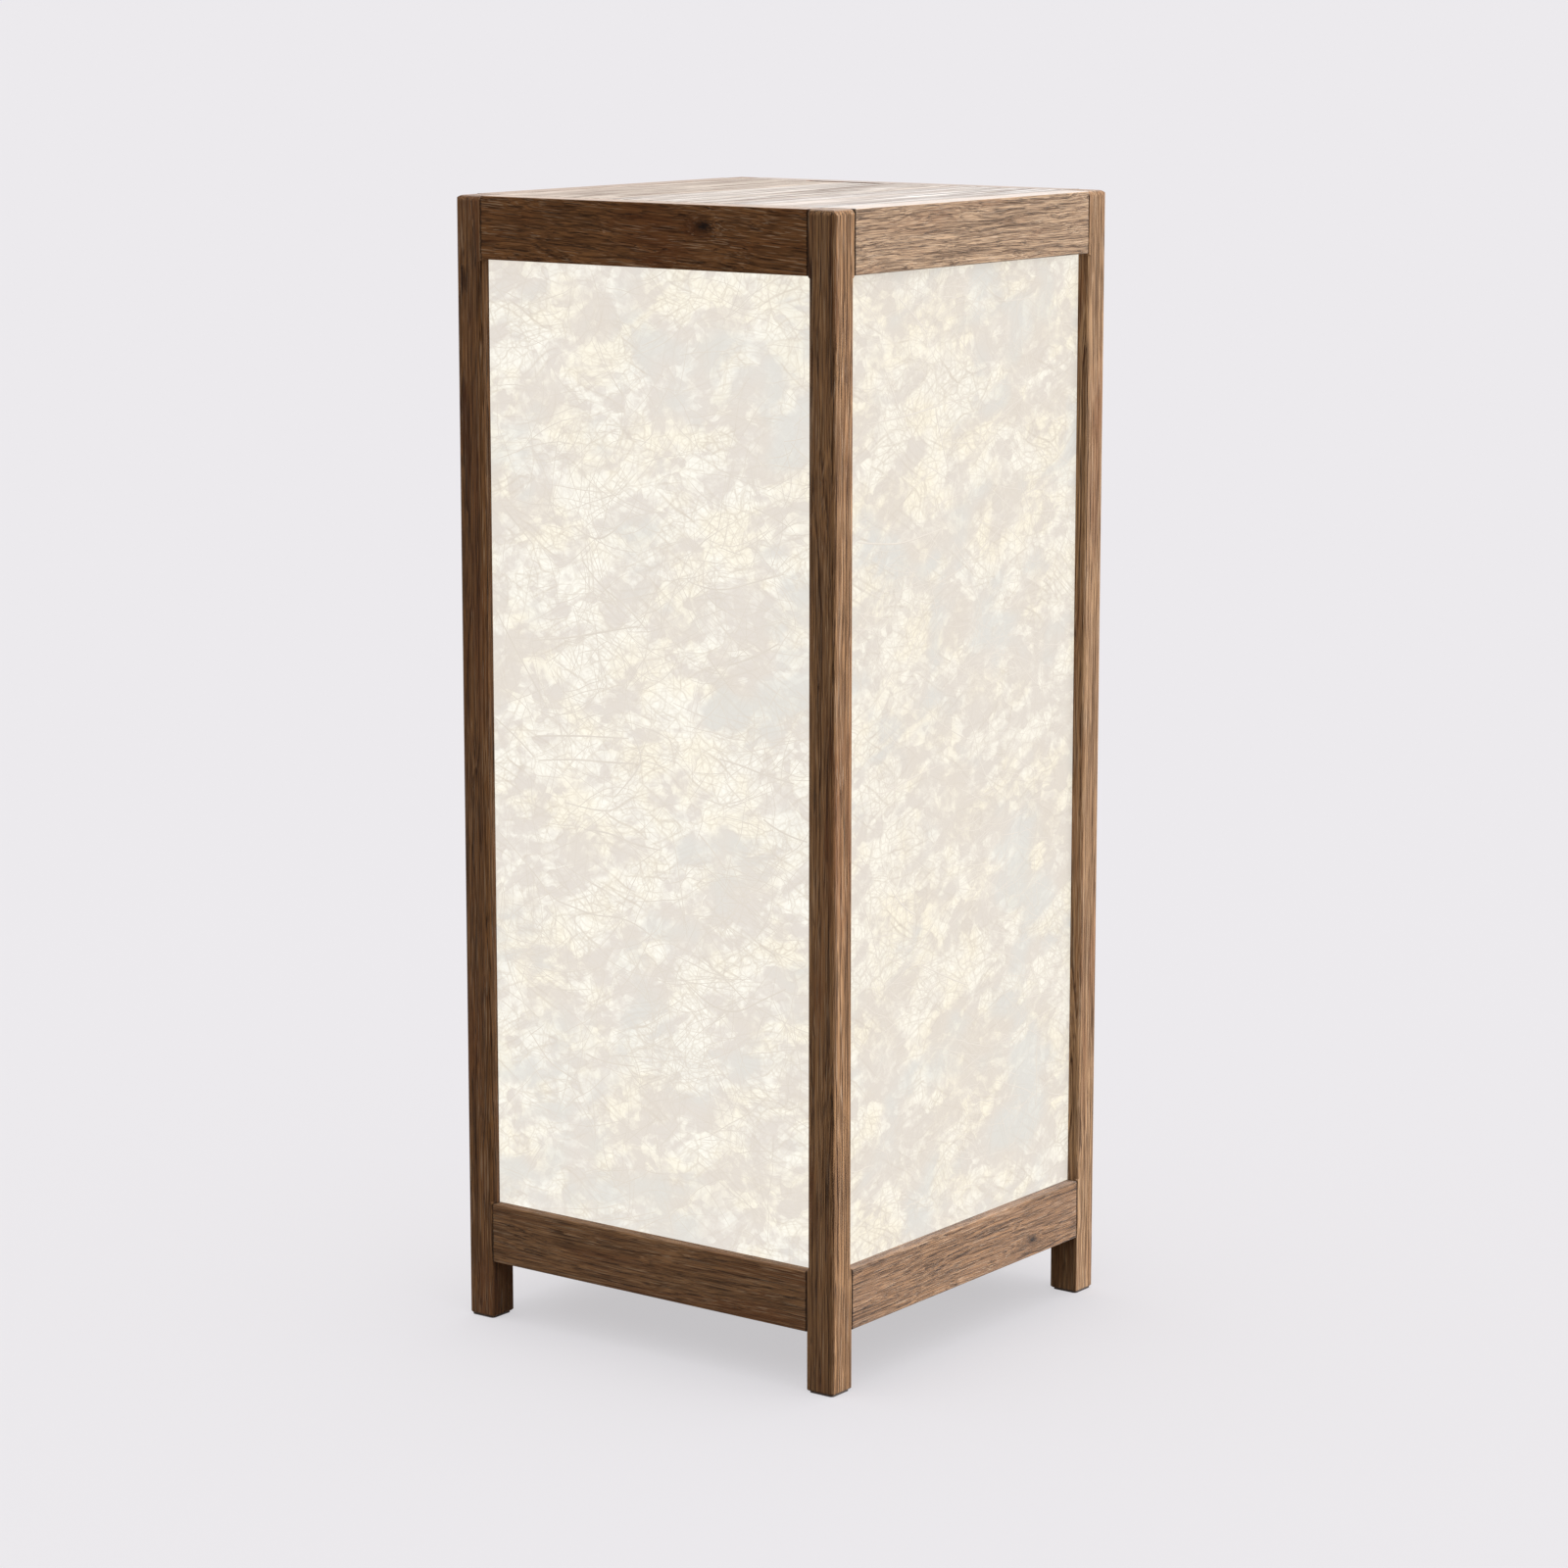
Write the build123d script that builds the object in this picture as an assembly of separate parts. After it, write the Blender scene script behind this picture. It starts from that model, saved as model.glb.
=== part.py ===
from build123d import *

import os
from math import cos, radians, sin, sqrt

# Andon floor lamp: a square oak lantern with washi panels, a lift-off lid and an E27 lamp inside.
# Millimetres, +Z up. The origin is on the floor, under the centre of the lamp. The front looks
# along -Y and the right side along +X.

# ---- Overall
WIDTH = 380.0  # X, over the posts
DEPTH = 380.0  # Y, over the posts
HEIGHT = 940.0  # floor to the flush top

# ---- Posts
POST = 26.0  # side of the square section
POST_CORNER_R = 3.2  # rounding of the outer arris
POST_TOP_R = 5.2  # rounding of the top end towards the two outer faces
POST_EASE = 0.8  # easing of the arrises that meet a rail
FOOT_CHAMFER = 1.2
RELIEF_R = 4.0  # stopped round-over of the arrises beside the paper

# ---- Glides under the posts
GLIDE_SIDE = 23.4
GLIDE_CORNER_R = 3.0
GLIDE_T = 1.5
GLIDE_NAIL_R = 1.25
GLIDE_NAIL_LENGTH = 14.0

# ---- Rails
RAIL_T = 22.0
TOP_RAIL_HEIGHT = 51.0
BOTTOM_RAIL_HEIGHT = 50.0
RAIL_CLEARANCE = 50.0  # floor to the underside of the bottom rails
RAIL_EDGE_R = 1.2  # easing of the rails' outer long edges
RAIL_END_EASE = 0.8  # easing where a rail's face meets a post

# ---- Mortise and tenon joints, mitred where two tenons meet in a post
TENON_T = 8.0
TENON_INSET = 7.0  # outer face of the frame to the tenon's cheek
TENON_SHOULDER = 6.0  # rail edge to the tenon, on the edge away from the paper
TENON_HAUNCH = 2.0  # further set-back past the rabbet, on the paper's edge
TENON_MITRE_GAP = 0.5
GLUE_GAP = 0.1

# ---- Panels: washi on a clear acrylic pane, held in a rabbet by beads
PANEL_RECESS = 10.0  # outer face of the frame to the paper
RABBET = 6.5  # how far the rabbet goes in past the opening's edge
PANE_GAP = 0.5  # pane and beads to the end of the rabbet
WASHI_T = 0.5
ACRYLIC_T = 2.0
BEAD_T = 6.5

# ---- Lid
LID_T = 12.0
LID_GAP = 0.6  # round the lid
LID_BOARDS = ("left", "centre", "right")
LID_TONGUE = 4.0
LID_TONGUE_T = 4.0
LID_TONGUE_GAP = 0.15
LID_EASE = 0.6
LID_LEDGER_W = 12.0
LID_LEDGER_H = 18.0
BATTEN_W = 24.0
BATTEN_H = 14.0
BATTEN_INSET = 70.0  # lid's edge to a batten's centre line
BATTEN_GAP = 3.0  # batten's end to the ledger
NOTCH_WIDTH = 78.0  # finger notch in the lid's back edge
NOTCH_DEPTH = 9.0
NOTCH_CENTRE_X = -58.0
NOTCH_CORNER_R = 4.0

# ---- Base
BASE_RISE = 24.0  # underside of the bottom rails to the underside of the base board
BOARD_T = 9.0
BOARD_GAP = 0.5
BASE_LEDGER_W = 12.0
BASE_LEDGER_H = 10.0
BOARD_SCREW_SPREAD = 110.0  # centre line to a screw

# ---- Wood and sheet screws
SCREW_R = 1.75
SCREW_HEAD_R = 3.5
SCREW_HEAD_T = 2.0
SCREW_LENGTH = 16.0
SHORT_SCREW_R = 1.5
SHORT_SCREW_HEAD_R = 2.8
SHORT_SCREW_HEAD_T = 1.4
SHORT_SCREW_LENGTH = 8.0
SCREW_FIT = 0.05

# ---- Wiring channel under the base board
CHANNEL_WIDTH = 50.0
CHANNEL_HEIGHT = 20.0
CHANNEL_T = 1.0
CHANNEL_LIP = 11.0
CHANNEL_FRONT_GAP = 18.0  # front rail's inner face to the channel
CHANNEL_TAIL = 32.0  # lamp's axis to the channel's back wall
CHANNEL_EDGE_R = 2.0
CHANNEL_SCREW_INSET = 22.0

# ---- Rocker switch in the channel's floor
SWITCH_INSET = 26.0  # channel's front wall to the switch's centre
ROCKER_LENGTH = 24.0
ROCKER_WIDTH = 10.5
ROCKER_DEPTH = 5.0  # pivot to the middle of the finger face
ROCKER_TIP_RISE = 2.0  # how much further out the tips of the finger face stand
ROCKER_BACK = 2.0  # pivot to the rocker's inner face
ROCKER_TILT = 8.0  # degrees each side of level
ROCKER_SIDE_GAP = 0.3
ROCKER_TIP_GAP = 0.4
PIVOT_R = 1.25
PIVOT_FIT = 0.05
PIVOT_END_GAP = 0.2  # pin's end to the outer side of the switch's wall
ROCKER_HEEL = 5.0  # length of the rocker's flat inner face
PIVOT_DEPTH = 4.8  # channel floor's outer face up to the pivot
SWITCH_WALL = 1.0
SWITCH_HEIGHT = 12.0
SWITCH_FIT = 0.2
BEZEL_T = 1.5
BEZEL_LIP = 1.5
BLADE_WIDTH = 4.8
BLADE_T = 0.8
BLADE_LENGTH = 6.0
BLADE_SPREAD = 7.0

# ---- Cord bush in the channel's back wall
BUSH_BORE_R = 3.5
BUSH_NECK_R = 5.0
BUSH_FLANGE_R = 7.0
BUSH_FLANGE_T = 2.0
BUSH_BARB_R = 5.8
BUSH_BARB_LENGTH = 6.0
BUSH_FIT = 0.1

# ---- Lamp pipe, flange, nuts
PIPE_R = 5.0
PIPE_BORE_R = 3.6
PIPE_FIT = 0.05
FLANGE_R = 30.0
FLANGE_T = 3.5
FLANGE_BOSS_R = 9.0
FLANGE_BOSS_H = 16.0
FLANGE_FILLET_R = 4.0
FLANGE_SCREW_R = 21.0  # lamp's axis to a screw
FLANGE_SCREWS = 3
NUT_ACROSS = 16.0
NUT_T = 4.0
WASHER_R = 14.0
WASHER_T = 1.5
PIPE_TAIL = 1.5  # thread showing past the lower nut

# ---- Lampholder
CAP_HUB_R = 8.5
CAP_HUB_H = 9.0
CAP_DOME_H = 14.0
CAP_WALL = 2.0
HOLDER_R = 19.5
SKIRT_WALL = 2.2
SKIRT_H = 37.0
SKIRT_LIP_R = 14.8
SKIRT_RIB_T = 0.8
SKIRT_RIB_H = 5.0
CORE_H = 10.0
CORE_GAP = 0.2
SHELL_T = 0.5
SHELL_GAP = 0.3
CONTACT_WIDTH = 6.0
CONTACT_LENGTH = 15.0
CONTACT_CROWN = 5.0  # flat top under the button
CONTACT_FEET = 10.0  # between the two flat feet
CONTACT_T = 0.5
CONTACT_RISE = 3.0

# ---- E27 bulb
GLOBE_R = 47.5
GLOBE_WALL = 1.5
COLLAR_TOP_R = 25.0
COLLAR_HEIGHT = 24.0
COLLAR_SEAT = 3.1  # top of the cap's thread to the collar's neck
COLLAR_NECK_R = 14.2
COLLAR_NECK_H = 4.0
THREAD_CREST_R = 13.1
THREAD_ROOT_R = 12.1
THREAD_PITCH = 3.6
THREAD_TURNS = 5
CAP_BORE_R = 11.2
BUTTON_R = 4.8
BUTTON_TIP_R = 3.4
BUTTON_H = 1.6
INSULATOR_H = 3.4
INSULATOR_PLUG_H = 1.0  # the insulator's stretch inside the cap

# ---- Lead from the switch to the lampholder
LEAD_R = 2.0
LEAD_BEND_R = 11.5
LEAD_SWAY_R = 14.0
LEAD_LIFT = 0.3  # clear of the channel's floor

# ---- Levels and faces that follow from the sizes above
PANEL_LOW = RAIL_CLEARANCE + BOTTOM_RAIL_HEIGHT
PANEL_HIGH = HEIGHT - TOP_RAIL_HEIGHT
BEAD_W = RABBET - PANE_GAP
LID_Z = HEIGHT - LID_T
BOARD_Z = RAIL_CLEARANCE + BASE_RISE
BOARD_TOP = BOARD_Z + BOARD_T
INNER_X = WIDTH / 2 - RAIL_T  # inner faces of the rails
INNER_Y = DEPTH / 2 - RAIL_T
POST_X = WIDTH / 2 - POST  # inner faces of the posts
POST_Y = DEPTH / 2 - POST

CHANNEL_Z = BOARD_Z - CHANNEL_HEIGHT
CHANNEL_FRONT = -INNER_Y + CHANNEL_FRONT_GAP
SWITCH_Y = CHANNEL_FRONT + SWITCH_INSET
PIVOT_Z = CHANNEL_Z + PIVOT_DEPTH
BLADE_Z = CHANNEL_Z + SWITCH_HEIGHT

BULB_CENTRE_Z = (PANEL_LOW + PANEL_HIGH) / 2
COLLAR_TOP = BULB_CENTRE_Z - sqrt(GLOBE_R**2 - COLLAR_TOP_R**2)
COLLAR_Z = COLLAR_TOP - COLLAR_HEIGHT
THREAD_TOP = COLLAR_Z - COLLAR_SEAT
THREAD_Z = THREAD_TOP - THREAD_PITCH * THREAD_TURNS
BULB_TIP_Z = THREAD_Z - INSULATOR_H - BUTTON_H
CORE_TOP = BULB_TIP_Z - CONTACT_RISE
CORE_Z = CORE_TOP - CORE_H
CAP_Z = CORE_Z - CAP_DOME_H - CAP_HUB_H
WASHER_Z = BOARD_Z - WASHER_T
PIPE_LOW = WASHER_Z - NUT_T - PIPE_TAIL
PIPE_TOP = CAP_Z + CAP_HUB_H

# Each side: its span, the distance from the lamp's axis to its outer face, its turn about Z.
SIDES = {
    "front": (WIDTH, DEPTH / 2, 0),
    "right": (DEPTH, WIDTH / 2, 90),
    "back": (WIDTH, DEPTH / 2, 180),
    "left": (DEPTH, WIDTH / 2, 270),
}
# Each corner: the outer corner's place and the turn from the front right corner.
CORNERS = {
    "front_right": (WIDTH / 2, -DEPTH / 2, 0),
    "back_right": (WIDTH / 2, DEPTH / 2, 90),
    "back_left": (-WIDTH / 2, DEPTH / 2, 180),
    "front_left": (-WIDTH / 2, -DEPTH / 2, 270),
}


def block(x, y, z):
    """A box between three (low, high) pairs."""
    lows = [low for low, high in (x, y, z)]
    sizes = [high - low for low, high in (x, y, z)]
    return Pos(*lows) * Box(*sizes, align=(Align.MIN, Align.MIN, Align.MIN))


def turned(*profile):
    """A solid of revolution about Z from its (radius, height) outline."""
    outline = Polyline(*profile, close=True)
    return revolve(Plane.XZ * make_face(outline), Axis.Z, 360)


def cylinder(radius, low, high):
    """An upright cylinder on the Z axis."""
    return Pos(0, 0, low) * Cylinder(radius, high - low, align=(Align.CENTER, Align.CENTER, Align.MIN))


def screw(radius, head_r, head_t, length, fit=0.0):
    """A countersunk screw, its head's flat at z = 0 and its shank up. With a fit, its own hole."""
    reach = length + fit
    return turned(
        (0, 0),
        (head_r + fit, 0),
        (radius + fit, head_t),
        (radius + fit, reach - radius),
        (0, reach),
    )


def long_screw(fit=0.0):
    """The screw of the base board and the lid's battens."""
    return screw(SCREW_R, SCREW_HEAD_R, SCREW_HEAD_T, SCREW_LENGTH, fit)


def short_screw(fit=0.0):
    """The screw of the pipe flange and the wiring channel."""
    return screw(SHORT_SCREW_R, SHORT_SCREW_HEAD_R, SHORT_SCREW_HEAD_T, SHORT_SCREW_LENGTH, fit)


def placed(places, shape):
    """The same shape at each place, as one group."""
    return Compound([place * shape for place in places])


def cut_at(target, places, tool):
    """The target without the tool at each place."""
    for place in places:
        target = target - place * tool
    return target


# ======================================================================================= posts
# A post is built with its outer corner on the Z axis and its body towards -X and +Y. Its two
# panel sides mirror each other in the plane through that corner.
POST_MIRROR = Plane(origin=(0, 0, 0), z_dir=(1, 1, 0))


def both_ways(shape):
    """A cut on the post's front face, and the same on its side face."""
    return shape + mirror(shape, about=POST_MIRROR)


def tenon_levels():
    """The (low, high) levels of the tenons of the bottom and the top rails."""
    inset = RABBET + TENON_HAUNCH
    bottom = (RAIL_CLEARANCE + TENON_SHOULDER, PANEL_LOW - inset)
    top = (PANEL_HIGH + inset, HEIGHT - TENON_SHOULDER)
    return bottom, top


def mortise(levels):
    """The slot for a front rail's tenon, up to the slot of the other rail."""
    low, high = levels
    return block(
        (-POST, -TENON_INSET + GLUE_GAP),
        (TENON_INSET - GLUE_GAP, TENON_INSET + TENON_T + GLUE_GAP),
        (low - GLUE_GAP, high + GLUE_GAP),
    )


def arris_relief():
    """Round-over of the arris beside the paper, run out at 45 degrees at both ends."""
    corner = block((-POST, -POST + RELIEF_R), (0, RELIEF_R), (PANEL_LOW, PANEL_HIGH))
    rounding = Pos(-POST + RELIEF_R, RELIEF_R, 0) * cylinder(RELIEF_R, PANEL_LOW, PANEL_HIGH)
    across = RELIEF_R * sqrt(2)
    run_out = Polygon(
        (0, PANEL_LOW),
        (across, PANEL_LOW + across),
        (across, PANEL_HIGH - across),
        (0, PANEL_HIGH),
        align=None,
    )
    diagonal = Plane(origin=(-POST, 0, 0), x_dir=(1, 1, 0), z_dir=(1, -1, 0))
    wedge = extrude(diagonal * run_out, amount=RELIEF_R * 2, both=True)
    return (corner - rounding) & wedge


def post():
    """A post with its rabbets, mortises, reliefs and the hole of its glide."""
    body = block((-POST, 0), (0, POST), (GLIDE_T, HEIGHT))
    uprights = body.edges().filter_by(Axis.Z)
    outer = uprights.sort_by_distance((0, 0, HEIGHT / 2))[0]
    body = fillet(outer, POST_CORNER_R)
    body = chamfer(body.faces().sort_by(Axis.Z)[0].edges(), FOOT_CHAMFER)
    body = body - both_ways(top_round())
    body = body - both_ways(seam_ease())
    rabbet = block(
        (-POST, -POST + RABBET),
        (PANEL_RECESS, POST),
        (PANEL_LOW - RABBET, PANEL_HIGH + RABBET),
    )
    body = body - both_ways(rabbet)
    body = body - both_ways(arris_relief())
    for levels in tenon_levels():
        body = body - both_ways(mortise(levels))
    nail = cylinder(GLIDE_NAIL_R + SCREW_FIT, 0, GLIDE_T + GLIDE_NAIL_LENGTH + SCREW_FIT)
    return body - Pos(-POST / 2, POST / 2, 0) * nail


def top_round():
    """What the rounding of the top end takes off along the front face."""
    level = HEIGHT - POST_TOP_R
    corner = block((-POST, 0), (0, POST_TOP_R), (level, HEIGHT))
    rounding = Rot(0, 90, 0) * Cylinder(POST_TOP_R, 3 * POST)
    return corner - Pos(0, POST_TOP_R, level) * rounding


def seam_ease():
    """The small chamfer down the arris that meets the rails' faces."""
    face = Polygon((-POST, 0), (-POST + POST_EASE, 0), (-POST, POST_EASE), align=None)
    return extrude(face, amount=HEIGHT)


def glide():
    """A nail-on glide under a post."""
    half = GLIDE_SIDE / 2
    pad = block((-half, half), (-half, half), (0, GLIDE_T))
    pad = fillet(pad.edges().filter_by(Axis.Z), GLIDE_CORNER_R)
    nail = cylinder(GLIDE_NAIL_R, GLIDE_T, GLIDE_T + GLIDE_NAIL_LENGTH)
    return Pos(-POST / 2, POST / 2, 0) * (pad + nail)


# ======================================================================================= sides
# A side is built as the front: its span along X and its outer face at y = -reach.
def tenon(span, reach, levels):
    """The tenon at a rail's right end, its tip cut at 45 degrees."""
    low, high = levels
    near = -reach + TENON_INSET
    shoulder = span / 2 - POST
    tip = span / 2 - TENON_INSET - TENON_MITRE_GAP
    outline = Polygon(
        (shoulder, near),
        (tip, near),
        (tip - TENON_T, near + TENON_T),
        (shoulder, near + TENON_T),
        align=None,
    )
    return Pos(0, 0, low) * extrude(outline, amount=high - low)


def rail(span, reach, levels, tenon_at, paper_above):
    """A rail with its rabbet on the paper's edge and a tenon at each end."""
    low, high = levels
    length = span / 2 - POST
    body = block((-length, length), (-reach, -reach + RAIL_T), (low, high))
    face_edges = body.faces().sort_by(Axis.Y)[0].edges()
    body = fillet(face_edges.filter_by(Axis.X), RAIL_EDGE_R)
    ends = body.faces().filter_by(Axis.X)
    end_edges = [edge for end in ends for edge in end.edges().filter_by(Axis.Z).sort_by(Axis.Y)[:1]]
    body = chamfer(end_edges, RAIL_END_EASE)
    if paper_above:
        rabbet_levels = (high - RABBET, high)
    else:
        rabbet_levels = (low, low + RABBET)
    body = body - block((-length, length), (-reach + PANEL_RECESS, -reach + RAIL_T), rabbet_levels)
    right_tenon = tenon(span, reach, tenon_at)
    return body + right_tenon + mirror(right_tenon, about=Plane.YZ)


def pane_sheet(span, reach, near, thickness):
    """A sheet that fills the rabbets round a panel's opening."""
    half = span / 2 - POST + BEAD_W
    front = -reach + near
    return block((-half, half), (front, front + thickness), (PANEL_LOW - BEAD_W, PANEL_HIGH + BEAD_W))


def glazing_beads(span, reach):
    """Four strips behind a pane: two across, two up between them."""
    front = -reach + PANEL_RECESS + WASHI_T + ACRYLIC_T
    back = front + BEAD_T
    opening = span / 2 - POST
    across = (-opening - BEAD_W, opening + BEAD_W)
    return Compound(
        [
            block(across, (front, back), (PANEL_LOW - BEAD_W, PANEL_LOW)),
            block(across, (front, back), (PANEL_HIGH, PANEL_HIGH + BEAD_W)),
            block((-opening - BEAD_W, -opening), (front, back), (PANEL_LOW, PANEL_HIGH)),
            block((opening, opening + BEAD_W), (front, back), (PANEL_LOW, PANEL_HIGH)),
        ]
    )


def side_nodes():
    """The rails, sheets and beads of the four sides."""
    bottom_tenon, top_tenon = tenon_levels()
    nodes = {}
    for name, (span, reach, angle) in SIDES.items():
        turn = Rot(0, 0, angle)
        top = rail(span, reach, (PANEL_HIGH, HEIGHT), top_tenon, paper_above=False)
        bottom = rail(span, reach, (RAIL_CLEARANCE, PANEL_LOW), bottom_tenon, paper_above=True)
        nodes[f"top_rail_{name}"] = turn * top
        nodes[f"bottom_rail_{name}"] = turn * bottom
        nodes[f"washi_{name}"] = turn * pane_sheet(span, reach, PANEL_RECESS, WASHI_T)
        nodes[f"acrylic_pane_{name}"] = turn * pane_sheet(span, reach, PANEL_RECESS + WASHI_T, ACRYLIC_T)
        nodes[f"glazing_beads_{name}"] = turn * glazing_beads(span, reach)
    return nodes


# ========================================================================================= lid
LID_X = INNER_X - LID_GAP
LID_Y = INNER_Y - LID_GAP
BATTEN_Y = LID_Y - BATTEN_INSET
BATTEN_X = INNER_X - LID_LEDGER_W - BATTEN_GAP
LID_BOARD_WIDTH = 2 * LID_X / len(LID_BOARDS)


def clear_of_posts(board, gap):
    """A board of the lamp's inner plan, notched at its corners round the posts."""
    levels = (0, HEIGHT)
    for side_x in (-1, 1):
        for side_y in (-1, 1):
            x = sorted((side_x * (POST_X - gap), side_x * WIDTH))
            y = sorted((side_y * (POST_Y - gap), side_y * DEPTH))
            board = board - block(x, y, levels)
    return board


def lid_tongue(x, gap):
    """The tongue between two lid boards, with its root at x."""
    middle = LID_Z + LID_T / 2
    half = LID_TONGUE_T / 2 + gap
    return block((x, x + LID_TONGUE + gap), (-LID_Y, LID_Y), (middle - half, middle + half))


def finger_notch():
    """The notch in the lid's back edge."""
    half = NOTCH_WIDTH / 2
    cutter = block(
        (NOTCH_CENTRE_X - half, NOTCH_CENTRE_X + half),
        (LID_Y - NOTCH_DEPTH, LID_Y + NOTCH_DEPTH),
        (LID_Z, HEIGHT),
    )
    inner = cutter.edges().filter_by(Axis.Z).group_by(Axis.Y)[0]
    return fillet(inner, NOTCH_CORNER_R)


def lid_board(index):
    """One of the lid's tongued and grooved boards, its grain along Y."""
    left = -LID_X + index * LID_BOARD_WIDTH
    right = left + LID_BOARD_WIDTH
    board = block((left, right), (-LID_Y, LID_Y), (LID_Z, HEIGHT))
    board = chamfer(board.faces().sort_by(Axis.Z)[-1].edges(), LID_EASE)
    if index > 0:
        board = board - lid_tongue(left, LID_TONGUE_GAP)
    if index < len(LID_BOARDS) - 1:
        board = board + lid_tongue(right, 0.0)
    board = clear_of_posts(board, LID_GAP)
    board = board - finger_notch()
    return cut_at(board, batten_screw_places(), long_screw(SCREW_FIT))


def batten_screw_places():
    """Screws up through the battens, two in each board, their tips halfway through the lid."""
    level = LID_Z + LID_T / 2 - SCREW_LENGTH
    lines = [-LID_X + (line + 0.5) * LID_BOARD_WIDTH / 2 for line in range(2 * len(LID_BOARDS))]
    return [Pos(x, row * BATTEN_Y, level) for row in (-1, 1) for x in lines]


def batten(row):
    """A batten across the boards, with counterbores for its screws."""
    y = row * BATTEN_Y
    body = block((-BATTEN_X, BATTEN_X), (y - BATTEN_W / 2, y + BATTEN_W / 2), (LID_Z - BATTEN_H, LID_Z))
    lower = body.faces().sort_by(Axis.Z)[0].edges()
    body = chamfer(lower, LID_EASE)
    sink = cylinder(SCREW_HEAD_R + SCREW_FIT, -BATTEN_H, 0)
    body = cut_at(body, batten_screw_places(), long_screw(SCREW_FIT))
    return cut_at(body, batten_screw_places(), sink)


def ledger_ring(width, low, high):
    """Two long and two short strips round the inside of the rails."""
    inner = INNER_Y - width
    long_strips = [block((-POST_X, POST_X), sorted((s * inner, s * INNER_Y)), (low, high)) for s in (-1, 1)]
    reach = INNER_X - width
    short_strips = [block(sorted((s * reach, s * INNER_X)), (-inner, inner), (low, high)) for s in (-1, 1)]
    return long_strips, short_strips


def lid_ledgers():
    """The strips that carry the lid, open under the finger notch."""
    long_strips, short_strips = ledger_ring(LID_LEDGER_W, LID_Z - LID_LEDGER_H, LID_Z)
    half = NOTCH_WIDTH / 2
    gap = block((NOTCH_CENTRE_X - half, NOTCH_CENTRE_X + half), (0, DEPTH), (0, HEIGHT))
    front, back = long_strips
    return Compound([front] + list((back - gap).solids())), Compound(short_strips)


# ======================================================================================== base
def board_screw_places():
    """Screws up through the base board into its ledgers."""
    y = INNER_Y - BASE_LEDGER_W / 2
    x = INNER_X - BASE_LEDGER_W / 2
    across = [Pos(s * BOARD_SCREW_SPREAD, t * y, BOARD_Z) for s in (-1, 1) for t in (-1, 1)]
    along = [Pos(t * x, s * BOARD_SCREW_SPREAD, BOARD_Z) for s in (-1, 1) for t in (-1, 1)]
    return across + along


def flange_screw_places():
    """Screws down through the flange, with their shanks pointing down."""
    level = BOARD_TOP + FLANGE_T
    arms = [Rot(0, 0, 90 + 360 / FLANGE_SCREWS * i) for i in range(FLANGE_SCREWS)]
    return [arm * Pos(FLANGE_SCREW_R, 0, level) * Rot(180, 0, 0) for arm in arms]


def channel_screw_places():
    """Screws up through the channel's lips into the base board."""
    x = CHANNEL_WIDTH / 2 + CHANNEL_LIP / 2
    ends = (CHANNEL_FRONT + CHANNEL_SCREW_INSET, CHANNEL_TAIL - CHANNEL_SCREW_INSET)
    return [Pos(s * x, y, BOARD_Z - CHANNEL_T) for s in (-1, 1) for y in ends]


def base_board():
    """The board that closes the base and carries the lamp."""
    x = INNER_X - BOARD_GAP
    y = INNER_Y - BOARD_GAP
    board = block((-x, x), (-y, y), (BOARD_Z, BOARD_TOP))
    board = clear_of_posts(board, BOARD_GAP)
    board = board - cylinder(PIPE_R + PIPE_FIT, BOARD_Z, BOARD_TOP)
    board = cut_at(board, board_screw_places(), long_screw(SCREW_FIT))
    board = cut_at(board, flange_screw_places(), short_screw(SCREW_FIT))
    return cut_at(board, channel_screw_places(), short_screw(SCREW_FIT))


def base_ledgers():
    """The strips that the base board is screwed up to."""
    rings = ledger_ring(BASE_LEDGER_W, BOARD_TOP, BOARD_TOP + BASE_LEDGER_H)
    tool = long_screw(SCREW_FIT)
    return [Compound([cut_at(strip, board_screw_places(), tool) for strip in ring]) for ring in rings]


# ============================================================================ wiring and switch
def wiring_channel():
    """A pressed steel channel with closed ends and a lip along each side."""
    half = CHANNEL_WIDTH / 2
    outer = block((-half, half), (CHANNEL_FRONT, CHANNEL_TAIL), (CHANNEL_Z, BOARD_Z))
    outer = fillet(outer.faces().sort_by(Axis.Z)[0].edges(), CHANNEL_EDGE_R)
    hollow = block(
        (-half + CHANNEL_T, half - CHANNEL_T),
        (CHANNEL_FRONT + CHANNEL_T, CHANNEL_TAIL - CHANNEL_T),
        (CHANNEL_Z + CHANNEL_T, BOARD_Z),
    )
    hollow = fillet(hollow.faces().sort_by(Axis.Z)[0].edges(), CHANNEL_EDGE_R - CHANNEL_T)
    lip_reach = half + CHANNEL_LIP
    lips = block((-lip_reach, lip_reach), (CHANNEL_FRONT, CHANNEL_TAIL), (BOARD_Z - CHANNEL_T, BOARD_Z))
    channel = outer + lips - hollow
    channel = channel - Pos(0, SWITCH_Y, CHANNEL_Z) * switch_body_blank(SWITCH_FIT)
    channel = channel - bush_place() * Cylinder(BUSH_NECK_R + BUSH_FIT, 4 * BUSH_FLANGE_T)
    return cut_at(channel, channel_screw_places(), short_screw(SCREW_FIT))


def rocker_opening():
    """Half length and half width of the opening that the rocker swings in."""
    tilt = radians(ROCKER_TILT)
    reach = ROCKER_LENGTH / 2 * cos(tilt) + (ROCKER_DEPTH + ROCKER_TIP_RISE) * sin(tilt)
    return reach + ROCKER_TIP_GAP, ROCKER_WIDTH / 2 + ROCKER_SIDE_GAP


def switch_body_blank(gap):
    """The part of the switch that goes through the channel's floor, about its centre there."""
    half_length, half_width = rocker_opening()
    x = half_length + SWITCH_WALL + gap
    y = half_width + SWITCH_WALL + gap
    return block((-x, x), (-y, y), (-BEZEL_T, SWITCH_HEIGHT + gap))


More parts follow.
